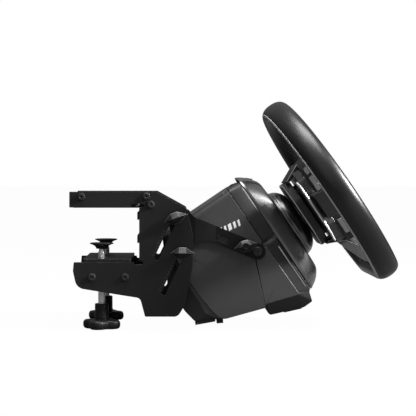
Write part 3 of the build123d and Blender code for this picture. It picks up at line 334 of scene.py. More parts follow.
# the grain's colour, brightened by a painted edge highlight where the edge mask is high, over a principled surface
# with the grain as its bump
def buildMaterial(name, spec):
    material = bpy.data.materials.new(name)
    material.use_nodes = True
    tree = material.node_tree
    surface = tree.nodes["Principled BSDF"]
    grain = tree.nodes.new("ShaderNodeGroup")
    grain.node_tree = grainGroup
    tint = spec.get("tint", (1.0, 1.0, 1.0))
    grain.inputs["Dark"].default_value = [spec["dark"] * c for c in tint] + [1]
    grain.inputs["Light"].default_value = [spec["light"] * c for c in tint] + [1]
    grain.inputs["Grain Scale"].default_value = spec["grain"]
    grain.inputs["Gloss Low"].default_value, grain.inputs["Gloss High"].default_value = spec["gloss"]
    grain.inputs["Stretch"].default_value = spec.get("stretch", 1.0)
    surface.inputs["Metallic"].default_value = spec.get("metal", 0.0)
    surface.inputs["Coat Weight"].default_value = spec.get("coat", 0.0)
    surface.inputs["Coat Roughness"].default_value = 0.26
    surface.inputs["Specular IOR Level"].default_value = spec.get("specular", 0.5)
    bump = tree.nodes.new("ShaderNodeBump")
    bump.inputs["Distance"].default_value = spec["bump"] * mm
    bump.inputs["Strength"].default_value = 0.8 if spec["bump"] else 0.0
    tree.links.new(grain.outputs["Height"], bump.inputs["Height"])
    tree.links.new(grain.outputs["Roughness"], surface.inputs["Roughness"])
    tree.links.new(bump.outputs["Normal"], surface.inputs["Normal"])
    if spec["edge"]:
        edge, mix = tree.nodes.new("ShaderNodeGroup"), tree.nodes.new("ShaderNodeMix")
        edge.node_tree = edgeGroup
        edge.inputs["Amount"].default_value = spec["edge"]
        mix.data_type = "RGBA"
        mix.inputs["B"].default_value = [spec["edgeColour"]] * 3 + [1]
        tree.links.new(edge.outputs["Mask"], mix.inputs["Factor"])
        tree.links.new(grain.outputs["Colour"], mix.inputs["A"])
        tree.links.new(mix.outputs["Result"], surface.inputs["Base Color"])
        tree.links.new(edge.outputs["Soft Normal"], bump.inputs["Normal"])
    else:
        tree.links.new(grain.outputs["Colour"], surface.inputs["Base Color"])
    return material


finish = {name: buildMaterial(name, spec) for name, spec in finishes.items()}
print("materials ready")

# which finish each carried-over node gets: the longest key that its name starts with
nodeFinish = {
    "clamp_plate": "platePaint", "top_plate": "platePaint", "edge_plate": "platePaint", "clamp_tray": "platePaint",
    "arm": "armPaint", "top_pad": "padRubber", "edge_pads": "padRubber", "base_feet": "padRubber",
    "swivel_pad": "knobPlastic", "clamp_screw": "brightSteel", "clamp_knob": "knobPlastic",
    "slot_knob": "knobPlastic", "tilt_knob": "knobPlastic", "slot_studs": "blackScrews",
    "bracket_screws": "blackScrews", "bracket_nuts": "blackScrews", "tray_nuts": "blackScrews",
    "pivot_fasteners": "blackScrews", "pivot_blocks": "innerIron", "base_shell": "shellPlastic",
    "side_panel": "shellPlastic", "front_skirt": "shellPlastic", "front_bezel": "darkPlastic",
    "nose": "noseGloss", "motor": "innerIron", "shaft_bearings": "brightSteel", "circuit_board": "boardGreen",
    "rear_sockets": "darkPlastic", "power_button": "buttonPlastic", "steering_shaft": "brightSteel",
    "quick_release_hub": "wheelMetal", "quick_release_ring": "plateMetal", "hub_back_plate": "plateMetal",
    "paddle_mount": "hubPlastic", "paddle_pins": "brightSteel", "paddle": "plateMetal", "rim_core": "innerIron",
    "spoke_frame": "spokeReflectionGrey", "rim_grip": "gripLeather", "hub_case": "hubPlastic", "hub_face": "darkPlastic",
    "centre_cap": "buttonPlastic", "button": "buttonPlastic",
}
for nodeName, node in nodes.items():
    matches = [key for key in nodeFinish if nodeName.startswith(key)]
    node.data.materials.clear()
    node.data.materials.append(finish[nodeFinish[max(matches, key=len)]])
print("carried-over nodes painted")

# rim: an oval section carried round the D-shaped line, with two fine seams behind
rim = {"lineRadius": 139.0, "lineFlat": 118.0, "cornerRadius": 36.0, "halfDepth": 17.3, "halfWidth": 11.0,
       "squareness": 2.25, "seamAngles": (14.0, 24.0), "seamWidth": 1.3, "seamDepth": 0.4, "threadRadius": 0.5}


# a straight, two corner arcs and one long arc, each worked out as points with the direction away from the middle
def rimLine():
    big, small, flat = rim["lineRadius"], rim["cornerRadius"], rim["lineFlat"]
    cornerX = math.sqrt((big - small) ** 2 - (flat - small) ** 2)
    meet = math.atan2(small - flat, cornerX)
    straight = np.linspace(0, cornerX, 14)[:-1]
    first = np.stack([straight, np.full_like(straight, -flat), 0 * straight, 0 * straight - 1], -1)
    angle = np.linspace(-math.pi / 2, meet, 26)[:-1]
    second = np.stack([cornerX + small * np.cos(angle), small - flat + small * np.sin(angle),
                       np.cos(angle), np.sin(angle)], -1)
    angle = np.linspace(meet, math.pi / 2, 110)
    third = np.stack([big * np.cos(angle), big * np.sin(angle), np.cos(angle), np.sin(angle)], -1)
    half = np.vstack([first, second, third])
    other = half[1:-1][::-1] * [-1, 1, -1, 1]
    return np.vstack([half, other])


# a superellipse of depth and width; near each seam angle the radius dips by a smooth notch
def rimSection(count=120):
    angle = np.linspace(0, 2 * np.pi, count, endpoint=False)
    power = 2 / rim["squareness"]
    depth = rim["halfDepth"] * np.sign(np.cos(angle)) * np.abs(np.cos(angle)) ** power
    width = rim["halfWidth"] * np.sign(np.sin(angle)) * np.abs(np.sin(angle)) ** power
    radius = np.hypot(depth, width)
    shrink = np.ones_like(radius)
    for seam in rim["seamAngles"]:
        away = (np.degrees(angle) - seam + 180) % 360 - 180
        shrink -= rim["seamDepth"] / radius * np.exp(-(np.radians(away) * radius / rim["seamWidth"]) ** 2)
    return depth * shrink, width * shrink


# each point of the section is placed along the line's outward direction by its width, and along the axis by its depth
def carriedAlongRim(depth, width, line):
    reach = line[:, None, :2] + line[:, None, 2:] * width[None, :, None]
    return wheelSpace(reach[..., 0], depth[None, :], reach[..., 1])


line = rimLine()
depth, width = rimSection()
makePiece("rimLeather", [gridPart(carriedAlongRim(depth, width, line), closeRows=True)], [finish["gripLeather"]],
          "steering_wheel", ["rim_grip"], 80)
threads = []
for seam in rim["seamAngles"]:
    power = 2 / rim["squareness"]
    c, s = math.cos(math.radians(seam)), math.sin(math.radians(seam))
    centreDepth, centreWidth = rim["halfDepth"] * c ** power, rim["halfWidth"] * s ** power
    ring = np.linspace(0, 2 * np.pi, 8, endpoint=False)
    threads.append(gridPart(carriedAlongRim(centreDepth - 0.15 + rim["threadRadius"] * np.cos(ring),
                                            centreWidth - 0.1 + rim["threadRadius"] * np.sin(ring), line),
                            closeRows=True))
makePiece("rimSeamTrim", threads, [finish["seamThread"]], "steering_wheel", (), 80)
print("rim built")

# nose: superellipses that shrink towards the wheel, then a rolled lip round the dome
nose = {"stations": [(96.4, 57.0, 93.0, -89.5, 5.0), (94.6, 57.0, 92.8, -89.3, 5.0), (92.0, 56.2, 91.4, -88.0, 4.6),
                     (88.5, 55.0, 88.8, -86.4, 4.2), (84.5, 53.6, 85.2, -84.0, 3.9), (80.5, 52.2, 80.6, -80.6, 3.6),
                     (77.0, 51.0, 76.2, -76.6, 3.3), (74.6, 50.0, 72.6, -73.2, 3.0), (73.3, 48.8, 69.4, -70.0, 2.8),
                     (73.0, 46.8, 62.0, -62.5, 2.5), (73.0, 44.9, 50.0, -50.0, 2.2), (73.6, 44.1, 44.1, -44.1, 2.0),
                     (77.0, 44.0, 44.0, -44.0, 2.0)],
        "wall": 2.4, "columns": 160}


# each station's outline is a superellipse between its top and bottom; the inner skin is the same, drawn in and back
def superOutline(halfWide, top, low, power, columns):
    angle = np.linspace(0, 2 * np.pi, columns, endpoint=False)
    x = halfWide * np.sign(np.cos(angle)) * np.abs(np.cos(angle)) ** (2 / power)
    t = (top - low) / 2 * np.sign(np.sin(angle)) * np.abs(np.sin(angle)) ** (2 / power) + (top + low) / 2
    return x, t


outer = []
for behind, wide, top, low, power in nose["stations"]:
    x, t = superOutline(wide, top, low, power, nose["columns"])
    outer.append(wheelSpace(x, behind, t))
inner = []
for behind, wide, top, low, power in nose["stations"][::-1][1:]:
    shrink = nose["wall"]
    x, t = superOutline(max(wide - shrink, 44.5), max(top - shrink, 44.6), min(low + shrink, -44.6), power,
                        nose["columns"])
    inner.append(wheelSpace(x, min(behind + shrink, 96.4), t))
makePiece("noseCover", [gridPart(np.stack(outer + inner), closeRows=True)], [finish["noseGloss"]], "wheel_base",
          ["nose_shroud"], 50)

# nose dome: a turned cover with a fine seam near its foot
dome = {"profile": [(43.6, 81.5), (43.8, 76.0), (43.8, 72.9), (45.0, 72.6), (49.0, 72.6), (49.5, 71.9), (49.4, 70.2),
                    (48.95, 68.9), (48.45, 68.5), (48.55, 68.1), (47.9, 66.0), (46.6, 63.4), (44.4, 60.4),
                    (41.4, 57.6), (38.0, 55.2), (35.0, 53.7), (31.5, 52.9), (28.5, 52.4), (24.0, 52.3), (22.4, 52.6),
                    (22.0, 53.2), (22.0, 55.3), (34.0, 57.3), (40.3, 64.0), (40.3, 81.5)]}
onAxis = lambda x, t, b: wheelSpace(x, b, t)
makePiece("noseDome", [turnedPart(dome["profile"], onAxis, 144)], [finish["noseGloss"]], "wheel_base",
          ["nose_dome"], 50)
print("nose built")

# housing: a wrap across the middle, and two cheeks that roll over into it along the top
housing = {"corners": [(116.3, 88.3), (222, 88.3), (230, 72), (254.4, 26), (254.4, -16), (251, -34), (226, -48),
                       (214, -54.8), (162, -72.3), (137.5, -11.1), (116.3, 4.1)],
           "cuts": [0.4, 2.5, 4, 5, 4, 2, 1, 0.5, 0.3, 0.6, 0.4], "wall": 3.0, "wrapHalf": 49.3, "cheekStart": 49.6,
           "halfWidth": 62.0, "roll": 11.0, "top": 88.3, "shoulder": 72.0, "sunkFrom": 59.6, "sunkTo": 60.6}
wrapOuter = np.array(housing["corners"][:9] + [(116.3, -87.6)])
wrapOuter = roundedOutline(np.vstack([wrapOuter, [(60.0, 0.0)]]), housing["cuts"][:9] + [0.3, 0.3], 5)[:-5]
wrapInner = insetOutline(wrapOuter, housing["wall"])
half = housing["wrapHalf"]
ring = np.stack([wheelSpace(-half, *wrapOuter.T), wheelSpace(half, *wrapOuter.T), wheelSpace(half, *wrapInner.T),
                 wheelSpace(-half, *wrapInner.T)], 1)
makePiece("housingWrap", [capped(ring)], [finish["shellPlastic"]], "wheel_base", ["base_shell"], 28)

# the sunk rear corner's outline, and the one where its slope meets the flat side
sunk = np.array([(116.3, 88.3), (221, 88.3), (228, 71), (231, 26), (231.4, -14), (233, -33), (224.6, -47.6),
                 (214, -54.8), (162, -72.3), (137.5, -11.1), (116.3, 4.1)])
soft = np.array([(116.4, 84.0), (217, 84.0), (222, 67), (226.7, 26), (226.2, -11), (223.5, -37), (220.6, -48.4),
                 (213.4, -54.4), (162.2, -71.9), (137.7, -10.6), (116.4, 4.5)])


# the top edge falls as the square of u while the side comes out as the square of what is left of u
def rolledRow(u):
    height = housing["halfWidth"] - housing["roll"] * (1 - u) ** 2
    drop = housing["roll"] * u ** 2
    shape = housing["corners"] if height < housing["sunkFrom"] else (sunk if height < housing["sunkTo"] else soft)
    moved = np.array(shape, float)
    moved[:3, 1] = [housing["top"] - drop, housing["top"] - drop, housing["shoulder"] - 0.6 * drop]
    return height, moved


outerRows = [(housing["cheekStart"], np.array(housing["corners"]))] + [rolledRow(u) for u in np.linspace(0, 1, 9)]
for side, sign in sides:
    rows = [wheelSpace(sign * h, *roundedOutline(c, housing["cuts"]).T) for h, c in outerRows]
    innerRows = [(58.8, 8.5), (55.0, 4.6), (housing["cheekStart"], housing["wall"])]
    plain = roundedOutline(housing["corners"], housing["cuts"])
    inside = [wheelSpace(sign * h, *insetOutline(plain, d).T) for h, d in innerRows]
    # the bands round the sunk rear corner take the darker plastic: painted shade in the recess
    sunkShade = [0] * len(inside) + [int(59.0 < h < housing["sunkTo"]) for h, c in outerRows[1:]]
    makePiece(f"sideCheek.{side}", [capped(np.stack(inside + rows), sunkShade)],
              [finish["shellPlastic"], finish["darkPlastic"]], "wheel_base",
              [f"side_panel_{side}"], 30)

# bezel: rounded oblongs that narrow towards the driver, with a fine bright arris in front
bezel = {"stations": [(115.6, 61.7, 88.0), (115.1, 62.0, 88.3), (99.0, 58.6, 86.7), (97.6, 57.9, 86.1),
                      (97.0, 57.2, 85.4)], "low": 3.3, "inner": (54.2, 82.0, 6.5), "topCut": 11.0, "lowCut": 1.2}


# a rounded oblong across the axis at one place behind the rim plane; grow takes that much off its upper cuts
def oblong(halfWide, top, low, behind, grow=0.0):
    corners = [(halfWide, low), (halfWide, top), (-halfWide, top), (-halfWide, low)]
    cuts = [bezel["lowCut"], bezel["topCut"] - grow, bezel["topCut"] - grow, bezel["lowCut"]]
    x, t = roundedOutline(corners, cuts, 9).T
    return wheelSpace(x, behind, t)


rows = [oblong(wide, top, bezel["low"], b) for b, wide, top in bezel["stations"]]
wide, top, low = bezel["inner"]
rows += [oblong(wide, top, low, 97.0, 4.0), oblong(wide, top, low, 115.6, 4.0)]
makePiece("bezelFrame", [gridPart(np.stack(rows), closeRows=True)], [finish["darkPlastic"]], "wheel_base",
          ["front_bezel"], 26)

# skirt: two cheeks with a broad bevel below and in front, the bevel painted darker as shade, joined by a block under
# the housing
skirt = {"full": [(136.9, -12), (161.3, -72.8), (163.3, -81), (161.7, -84.2), (119, -100.7), (105.2, -100.2),
                  (101.6, -88), (98, -84), (98, -4), (129, -4)],
         "crest": [(136.9, -12), (161.1, -69.5), (159.5, -69.2), (157.5, -68.8), (118, -81.5), (114.6, -82.2),
                   (114.2, -80), (114.3, -76), (115.6, -4.4), (129, -4.4)],
         "cuts": [0.6, 0.4, 0.4, 0.8, 2.0, 1.5, 0.8, 0.8, 0.5, 0.8],
         "block": [(161.5, -73.2), (163.3, -81), (161.7, -84.2), (119, -100.7), (105.2, -100.2), (102.8, -92.8)],
         "blockCuts": [0.4, 0.4, 0.8, 2.0, 1.5, 0.6], "blockHalf": 54.6, "levels": (54.5, 57.0, 61.6, 62.0)}
full, crest = (roundedOutline(skirt[k], skirt["cuts"]) for k in ("full", "crest"))
parts = []
for sign in (-1, 1):
    rows = list(zip(skirt["levels"], (full, full, crest, insetOutline(crest, 0.5))))
    grid = np.stack([wheelSpace(sign * h, *o.T) for h, o in rows])
    # the two bevel bands take the darker plastic as painted shade; the side face keeps the skirt plastic
    parts.append(capped(grid, [1, 1, 0]))
block = roundedOutline(skirt["block"], skirt["blockCuts"])
parts.append(slabPart(block, [(-skirt["blockHalf"], 0), (skirt["blockHalf"], 0)], acrossSide(1)))
makePiece("frontSkirt", parts, [finish["skirtPlastic"], finish["darkPlastic"]], "wheel_base",
          ["front_skirt"], 22)

# a fine bright strip on the skirt's front bevel: a painted highlight where the bevel's edge catches the light
strip = {"behind": 101.0, "top": -13.0, "low": -79.0, "wide": 1.1, "levels": (57.7, 58.55)}
near, far = strip["behind"], strip["behind"] + strip["wide"]
corners = np.array([(near, strip["top"]), (far, strip["top"] - 1), (far, strip["low"] + 1), (near, strip["low"])])
parts = [slabPart(corners, [(level, 0) for level in strip["levels"]], acrossSide(sign)) for sign in (-1, 1)]
makePiece("skirtEdgeHighlight", parts, [finish["wheelMetal"]], "wheel_base", (), 20)

# plain slanted bars printed on each cheek
badge = {"behind": [163.0, 157.5, 150.5, 145.0, 137.5, 131.0], "widths": [3.0, 4.6, 3.0, 5.0, 3.6, 3.0],
         "up": 43.5, "slope": 0.16, "lean": 2.6, "length": 8.0, "sunk": 61.9, "proud": 62.06}
for side, sign in sides:
    parts = []
    for b, thick in zip(badge["behind"], badge["widths"]):
        t = badge["up"] - (badge["behind"][0] - b) * badge["slope"]
        corners = np.array([(b, t), (b - badge["lean"], t + badge["length"]),
                            (b - badge["lean"] - thick, t + badge["length"]), (b - thick, t)])
        parts.append(slabPart(corners, [(badge["sunk"], 0), (badge["proud"], 0)], acrossSide(sign)))
    makePiece(f"cheekBars.{side}", parts, [finish["markWhite"]], "wheel_base", (), 20)

# a dark window with a small lamp on the cover's upper slope
window = {"middle": (81.2, 81.6), "lean": 46.0, "halfAcross": 9.0, "halfAlong": 4.6, "lamp": (2.0, 1.2)}
c, s = math.cos(math.radians(window["lean"])), math.sin(math.radians(window["lean"]))


# a turn by the slope's lean about X, then a move to its middle
def onSlope(outline, height):
    x, along = outline[:, 0], outline[:, 1]
    return wheelSpace(x, window["middle"][0] + along * c - height * s, window["middle"][1] + along * s + height * c)


a, b = window["halfAcross"], window["halfAlong"]
frameOutline = roundedOutline([(-a, -b), (a, -b), (a, b), (-a, b)], 2.2, 6)
makePiece("statusWindow", [slabPart(frameOutline, [(-0.6, 0), (0.5, 0), (0.8, 0.4)], onSlope)],
          [finish["noseGloss"]], "wheel_base", (), 25)
lampOutline = roundedOutline(np.array([(-1, -1), (1, -1), (1, 1), (-1, 1)]) * window["lamp"] + [0, -2.6], 1.0, 5)
makePiece("statusLamp", [slabPart(lampOutline, [(0.5, 0), (1.0, 0), (1.1, 0.2)], onSlope)],
          [finish["markWhite"]], "wheel_base", (), 25)
print("base built")

# clamp knobs: lobes round a disc, with a tall collar
knob = {"middle": (57.0, 48.0), "top": -150.0, "height": 12.0, "reach": 26.0, "waist": 19.0, "lobes": 4,
        "turnDegrees": -18.0, "collar": 9.2, "collarTop": -128.5, "bore": 3.6}


# the reach swings between waist and lobe with a rounded cosine, and each row of the rounded edge draws it in a little
def knobPart(place):
    angle = np.linspace(0, 2 * np.pi, 144, endpoint=False)
    swing = 0.5 + 0.5 * np.cos(knob["lobes"] * (angle - math.radians(knob["turnDegrees"])))
    reach = knob["waist"] + (knob["reach"] - knob["waist"]) * swing ** 0.75
    low = knob["top"] - knob["height"]
    turn = np.linspace(-math.pi / 2, math.pi / 2, 13)
    rows = [(np.full_like(angle, knob["bore"]), low + 1.0), (np.full_like(angle, 8.0), low + 0.4)]
    rows += [(reach - 4.5 * (1 - math.cos(a)) ** 1.2, low + knob["height"] / 2 * (1 + math.sin(a))) for a in turn]
    top, collar, collarTop = knob["top"], knob["collar"], knob["collarTop"]
    neck = [(12.0, top + 0.2), (9.4, top + 0.8), (collar + 0.5, top + 2.4), (collar, top + 4.5),
            (collar - 0.1, collarTop - 0.8), (collar - 0.8, collarTop), (knob["bore"], collarTop)]
    rows += [(np.full_like(angle, r), z) for r, z in neck]
    reach = np.stack([r for r, z in rows])
    z = np.array([z for r, z in rows])[:, None] + 0 * reach
    return gridPart(place(reach * np.cos(angle), reach * np.sin(angle), z), closeRows=True)


# clamp rods: the crest radius less a triangle wave of height and turn, which winds a thread round the rod
rod = {"crest": 4.9, "depth": 0.75, "pitch": 1.5, "top": -57.6, "low": -129.0,
       "ball": [(4.0, -50.3), (4.9, -51.2), (4.9, -54.2), (3.7, -55.4)]}


def rodPart(place):
    z = np.arange(rod["top"], rod["low"], -rod["pitch"] / 7)
    angle = np.linspace(0, 2 * np.pi, 48, endpoint=False)
    phase = (z[:, None] / rod["pitch"] - angle[None, :] / (2 * np.pi)) % 1.0
    fade = np.clip((rod["top"] - z) / 2.0, 0.15, 1)[:, None]
    reach = rod["crest"] * (0.8 + 0.2 * fade) - rod["depth"] * np.clip(1 - np.abs(2 * phase - 1) * 1.6, 0, 1)
    thread = place(reach * np.cos(angle), reach * np.sin(angle), z[:, None] + 0 * reach)
    ball = [place(r * np.cos(angle), r * np.sin(angle), h + 0 * angle) for r, h in rod["ball"]]
    return capped(np.concatenate([np.stack(ball), thread]))


pad = {"profile": [(0.01, -47.0), (14.6, -47.0), (15.8, -47.25), (16.0, -47.9), (15.5, -48.5), (12.5, -49.5),
                   (9.4, -51.2), (7.9, -53.2), (7.2, -55.0), (5.3, -55.0), (5.3, -50.0), (0.01, -50.0)]}
for side, sign in sides:
    atRod = lambda x, y, z, sign=sign: np.stack([sign * knob["middle"][0] + x, knob["middle"][1] + y, z], -1)
    makePiece(f"clampKnob.{side}", [knobPart(atRod)], [finish["knobPlastic"]], owner[f"clamp_knob_{side}"],
              [f"clamp_knob_{side}"], 40)
    makePiece(f"clampRod.{side}", [rodPart(atRod)], [finish["brightSteel"]], owner[f"clamp_screw_{side}"],
              [f"clamp_screw_{side}"], 50)
    makePiece(f"swivelPad.{side}", [turnedPart(pad["profile"], atRod, 64)], [finish["knobPlastic"]],
              owner[f"swivel_pad_{side}"], [f"swivel_pad_{side}"], 35)
print("clamp screws built")

# wing knobs: a six-sided wing that climbs to a ridge, with a turned boss on the tilt knobs
wing = {"halfLength": 16.5, "halfWidth": 7.75, "shoulder": 4.6, "rim": 0.7, "ridge": 9.5, "bossRadius": 4.7,
        "washer": [(3.2, 0.0), (5.4, 0.0), (5.6, 0.3), (5.6, 3.1), (3.2, 3.1)],
        "places": {"slot_knob_upper": (-51.0, -13.5, 76.2, 20.0, False),
                   "slot_knob_lower": (-60.0, -59.8, 76.2, 0.0, False),
                   "tilt_knob": (-144.468, -50.777, 66.1, 14.0, True)}}


# a lozenge with a short flat above and below, made shorter and narrower by two amounts
def wingOutline(shorter, narrower):
    a, b, s = wing["halfLength"] - shorter, wing["halfWidth"] - narrower, wing["shoulder"]
    return roundedOutline([(-a, 0), (-s, b), (s, b), (a, 0), (s, -b), (-s, -b)], [0.6, 0.8, 0.8, 0.6, 0.8, 0.8], 4)


# four flat faces climb from the outline to a ridge along the wing's length
def ridgeOutline():
    flat = wingOutline(0.0, 0.0)
    return np.stack([np.clip(flat[:, 0], -wing["ridge"], wing["ridge"]), 0.04 * flat[:, 1]], -1)


for label, (y, z, seat, lean, bossed) in wing["places"].items():
    for side, sign in sides:
        turn = math.radians(lean)

        # the wing's length runs along Y, turned by its lean
        def onPlate(outline, height, y=y, z=z, sign=sign, turn=turn, seat=seat):
            u, v = outline[:, 0], outline[:, 1]
            return np.stack([np.full(len(u), sign * (seat + height)), y + u * math.cos(turn) - v * math.sin(turn),
                             z - u * math.sin(turn) - v * math.cos(turn)], -1)
        rows = [(wingOutline(2.2, 1.4), 3.0), (wingOutline(0.3, 0.2), 5.4), (wingOutline(0.0, 0.0), 6.0),
                (wingOutline(0.0, 0.0), 7.4), (wingOutline(wing["rim"] * 1.8, wing["rim"]), 8.2),
                (ridgeOutline(), 13.4)]
        grid = np.stack([onPlate(o, h) for o, h in rows])
        # the band where each wing's top edge rolls over takes the lighter knob finish, a painted highlight
        parts = [capped(grid, [0, 0, 0, 1, 0])]
        onBoss = lambda a, b, h, y=y, z=z, sign=sign, seat=seat: np.stack([sign * (seat + h), y + a, z + b], -1)
        parts.append(turnedPart(wing["washer"], onBoss, 40))
        if bossed:
            parts.append(turnedPart([(0.02, 11.0), (wing["bossRadius"], 11.0), (wing["bossRadius"], 13.5),
                                     (wing["bossRadius"] - 0.6, 14.0), (3.0, 14.0), (2.6, 13.0), (0.02, 12.8)],
                                    onBoss, 40))
        node = f"{label}_{side}"
        makePiece(f"wing.{node}", parts, [finish["knobPlastic"], finish["knobRimHighlight"]], owner[node],
                  [node], 20)
print("wing knobs built")

# slot scales: fine printed marks beside each slot
scale = {"count": 13, "spacing": 4.4, "length": 2.4, "long": 3.8, "thick": 0.6, "offset": 4.6,
         "sunk": 75.9, "proud": 76.05,
         "slots": [(-51.0, -13.5), (-60.0, -59.8)], "leanDegrees": 25.0, "first": 4.0}
lean = math.radians(scale["leanDegrees"])
along = np.array([math.sin(lean), -math.cos(lean)])
away = np.array([math.cos(lean), math.sin(lean)])
for side, sign in sides:
    onSidePlate = lambda o, h, sign=sign: np.stack([np.full(len(o), sign * h), o[:, 0], o[:, 1]], -1)
    parts = []
    for stud in scale["slots"]:
        for i in range(scale["count"]):
            length = scale["long"] if i % 4 == 0 else scale["length"]
            start = np.array(stud) + along * (scale["first"] + i * scale["spacing"]) + away * scale["offset"]
            corners = np.array([start, start + away * length, start + away * length + along * scale["thick"],
                                start + along * scale["thick"]])
            parts.append(slabPart(corners, [(scale["sunk"], 0), (scale["proud"], 0)], onSidePlate))
    makePiece(f"slotScale.{side}", parts, [finish["markGrey"]], owner["clamp_plate_left"], (), 20)

# paddles: broad plates whose bevelled edges carry a painted highlight in a bright metal finish
paddle = {"corners": [(30.2, 27.0), (42.0, 27.5), (66.0, 46.0), (90.0, 38.0), (90.0, -30.0), (66.0, -51.0),
                      (42.0, -27.5), (30.2, -27.0)], "cuts": [1, 5, 5, 8, 8, 5, 5, 1], "back": 36.5, "front": 33.5,
          "bevel": 1.3, "bore": 1.55, "pivot": 26.0, "pivotBehind": 35.0}
for side, sign in sides:
    outline = roundedOutline(paddle["corners"], paddle["cuts"], 6) * [sign, 1]
    levels = [(paddle["back"], paddle["bevel"]), (paddle["back"] - paddle["bevel"], 0.0),
              (paddle["front"] + paddle["bevel"], 0.0), (paddle["front"], paddle["bevel"])]
    parts = [edgedSlab(outline, levels, lambda o, h: wheelSpace(o[:, 0], h, o[:, 1]), [1, 1, 1, 0])]
    upPin = lambda a, b, h, sign=sign: wheelSpace(sign * paddle["pivot"] + a, paddle["pivotBehind"] + b, h)
    parts.append(turnedPart([(paddle["bore"], -27.0), (2.7, -27.0), (3.0, -26.7), (3.0, 26.7), (2.7, 27.0),
                             (paddle["bore"], 27.0)], upPin, 32))
    makePiece(f"shiftPaddle.{side}", parts, [finish["plateMetal"], finish["bevelHighlight"]], owner[f"paddle_{side}"],
              [f"paddle_{side}"], 25)
print("paddles built")

# back plate of the hub: dark, with a painted highlight in a bright metal finish on the bevel all round
backPlate = {"corners": [(-30, 49), (30, 49), (48, 22), (48, -26), (30, -48), (-30, -48), (-48, -26), (-48, 22)],
             "cut": 4.0, "back": 51.0, "front": 39.0, "bevel": 1.2, "recess": 30.0, "recessFloor": 45.2}
outline = roundedOutline(backPlate["corners"], backPlate["cut"], 5)
turn = np.arctan2(outline[:, 1], outline[:, 0])
well = backPlate["recess"] * np.stack([np.cos(turn), np.sin(turn)], -1)
plateRows = [(well, backPlate["recessFloor"]), (well, backPlate["back"]),
             (insetOutline(outline, backPlate["bevel"]), backPlate["back"]),
             (outline, backPlate["back"] - backPlate["bevel"]), (outline, backPlate["front"] + 0.6),
             (insetOutline(outline, 0.6), backPlate["front"])]
grid = np.stack([wheelSpace(o[:, 0], h, o[:, 1]) for o, h in plateRows])
plate = capped(grid, [0, 0, 1, 0, 0])
makePiece("hubBackPlate", [plate], [finish["hubPlastic"], finish["bevelHighlight"]], owner["hub_back_plate"],
          ["hub_back_plate"], 25)

# fairings above and below, from the hub's case back to the plate; their bevelled ends carry the same painted highlight
fairing = {"sections": [[(18.4, 63.0), (44.6, 50.6), (44.6, 49.4), (40.0, 48.2), (19.0, 52.0)],
                        [(18.4, -61.0), (44.6, -49.6), (44.6, -48.4), (40.0, -47.2), (19.0, -50.0)]],
           "half": 37.0, "bevel": 1.4}
parts = []
for section in fairing["sections"]:
    outline = roundedOutline(section, 1.0, 3)
    levels = [(-fairing["half"], fairing["bevel"] * 0.4), (fairing["bevel"] - fairing["half"], 0),
              (fairing["half"] - fairing["bevel"], 0), (fairing["half"], fairing["bevel"] * 0.4)]
    parts.append(edgedSlab(outline, levels, acrossSide(1), [1, 0, 1]))
makePiece("hubFairing", parts, [finish["hubPlastic"], finish["bevelHighlight"]], owner["hub_case"], (), 25)

# panels on the hub's flanks, set between dark recesses
flank = {"panels": [[(4.5, 56), (17, 54), (17, 44), (4.5, 46)], [(4.5, 42), (17, 40), (17, 18), (4.5, 20)],
                    [(4.5, -30), (17, -28), (17, -50), (4.5, -52)]], "inside": 52.5, "outside": 56.4, "bevel": 0.6}
for side, sign in sides:
    parts = []
    for corners in flank["panels"]:
        outline = roundedOutline(corners, 1.5, 4)
        levels = [(flank["inside"], 0), (flank["outside"] - flank["bevel"], 0), (flank["outside"], flank["bevel"])]
        parts.append(slabPart(outline, levels, acrossSide(sign)))
    makePiece(f"hubFlank.{side}", parts, [finish["flankPlastic"]], owner["hub_case"], (), 25)
print("hub built")

# studio: pale floor, soft lights and the camera
studio = {"floorHalf": 30.0, "floorGap": 0.0005, "target": (0.0, -0.15, 0.0),
          "lights": {"keyLight": ((-0.5, -1.75, 0.98), 0.3, 130.0), "topSoftbox": ((-0.36, -0.05, 2.0), 1.2, 70.0),
                     "noseSoftbox": ((-0.95, -1.6, 1.15), 0.9, 10.0), "sideSoftbox": ((-2.2, 0.5, 0.9), 1.0, 2.0),
                     "lowSoftbox": ((-1.2, -0.8, -0.12), 0.5, 1.0)}}
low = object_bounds()[0]
floorMesh = bpy.data.meshes.new("floor")
h, z = studio["floorHalf"], low[2] - studio["floorGap"]
floorMesh.from_pydata([(-h, -h, z), (h, -h, z), (h, h, z), (-h, h, z)], [], [(0, 1, 2, 3)])
floor = bpy.data.objects.new("floor", floorMesh)
bpy.context.scene.collection.objects.link(floor)
paper = bpy.data.materials.new("studioPaper")
paper.use_nodes = True
tree = paper.node_tree
surface, output = tree.nodes["Principled BSDF"], tree.nodes["Material Output"]
surface.inputs["Base Color"].default_value = (0.08, 0.08, 0.08, 1)
surface.inputs["Roughness"].default_value = 0.9
lit, pathNode = tree.nodes.new("ShaderNodeEmission"), tree.nodes.new("ShaderNodeLightPath")
blend, share = tree.nodes.new("ShaderNodeMixShader"), tree.nodes.new("ShaderNodeMath")
share.operation = "MULTIPLY"
share.inputs[1].default_value = 0.92
lit.inputs["Strength"].default_value = 1.06
tree.links.new(pathNode.outputs["Is Camera Ray"], share.inputs[0])
tree.links.new(share.outputs[0], blend.inputs["Fac"])
tree.links.new(surface.outputs[0], blend.inputs[1])
tree.links.new(lit.outputs[0], blend.inputs[2])
tree.links.new(blend.outputs[0], output.inputs["Surface"])
floorMesh.materials.append(paper)

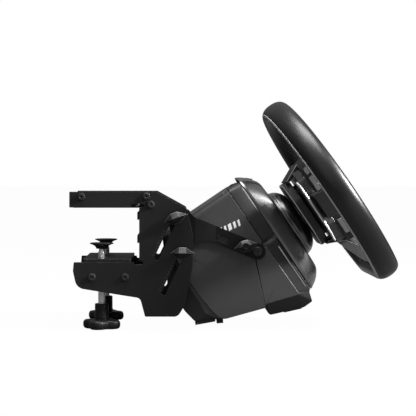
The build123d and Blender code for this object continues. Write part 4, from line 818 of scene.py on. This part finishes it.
world = bpy.data.worlds.new("studio")
bpy.context.scene.world = world
world.use_nodes = True
tree = world.node_tree
background = tree.nodes["Background"]
background.inputs["Strength"].default_value = 1.0
coordinates, split = tree.nodes.new("ShaderNodeTexCoord"), tree.nodes.new("ShaderNodeSeparateXYZ")
ramp = tree.nodes.new("ShaderNodeValToRGB")
pathNode, choose = tree.nodes.new("ShaderNodeLightPath"), tree.nodes.new("ShaderNodeMix")
choose.data_type = "RGBA"
choose.inputs["B"].default_value = (1, 1, 1, 1)
turnUp = tree.nodes.new("ShaderNodeMapRange")
turnUp.inputs["From Min"].default_value = -1.0
ramp.color_ramp.elements[0].position, ramp.color_ramp.elements[0].color = 0.45, (0.03, 0.03, 0.03, 1)
ramp.color_ramp.elements[1].position, ramp.color_ramp.elements[1].color = 0.95, (0.5, 0.5, 0.5, 1)
tree.links.new(coordinates.outputs["Generated"], split.inputs[0])
tree.links.new(split.outputs["Z"], turnUp.inputs["Value"])
tree.links.new(turnUp.outputs["Result"], ramp.inputs["Fac"])
tree.links.new(pathNode.outputs["Is Camera Ray"], choose.inputs["Factor"])
tree.links.new(ramp.outputs["Color"], choose.inputs["A"])
tree.links.new(choose.outputs["Result"], background.inputs["Color"])


# a square soft light turned to face the studio's target
def softLight(name, place, size, watts):
    data = bpy.data.lights.new(name, "AREA")
    data.size, data.energy = size, watts
    lamp = bpy.data.objects.new(name, data)
    bpy.context.scene.collection.objects.link(lamp)
    lamp.location = place
    lamp.rotation_euler = (Vector(studio["target"]) - Vector(place)).to_track_quat("-Z", "Y").to_euler()


for name, (place, size, watts) in studio["lights"].items():
    softLight(name, place, size, watts)

view = {"place": (-1.795, -0.0504, 0.03975), "lens": 112.07, "shift": (0.0793, -0.0721)}
cameraData = bpy.data.cameras.new("camera")
cameraData.lens, cameraData.sensor_width = view["lens"], 36.0
cameraData.shift_x, cameraData.shift_y = view["shift"]
cameraData.clip_end = 200.0
camera = bpy.data.objects.new("camera", cameraData)
bpy.context.scene.collection.objects.link(camera)
camera.location = view["place"]
camera.rotation_euler = (math.radians(90), 0, math.radians(-90))
bpy.context.scene.camera = camera
bpy.context.scene.view_settings.view_transform = "Standard"
print("studio ready")
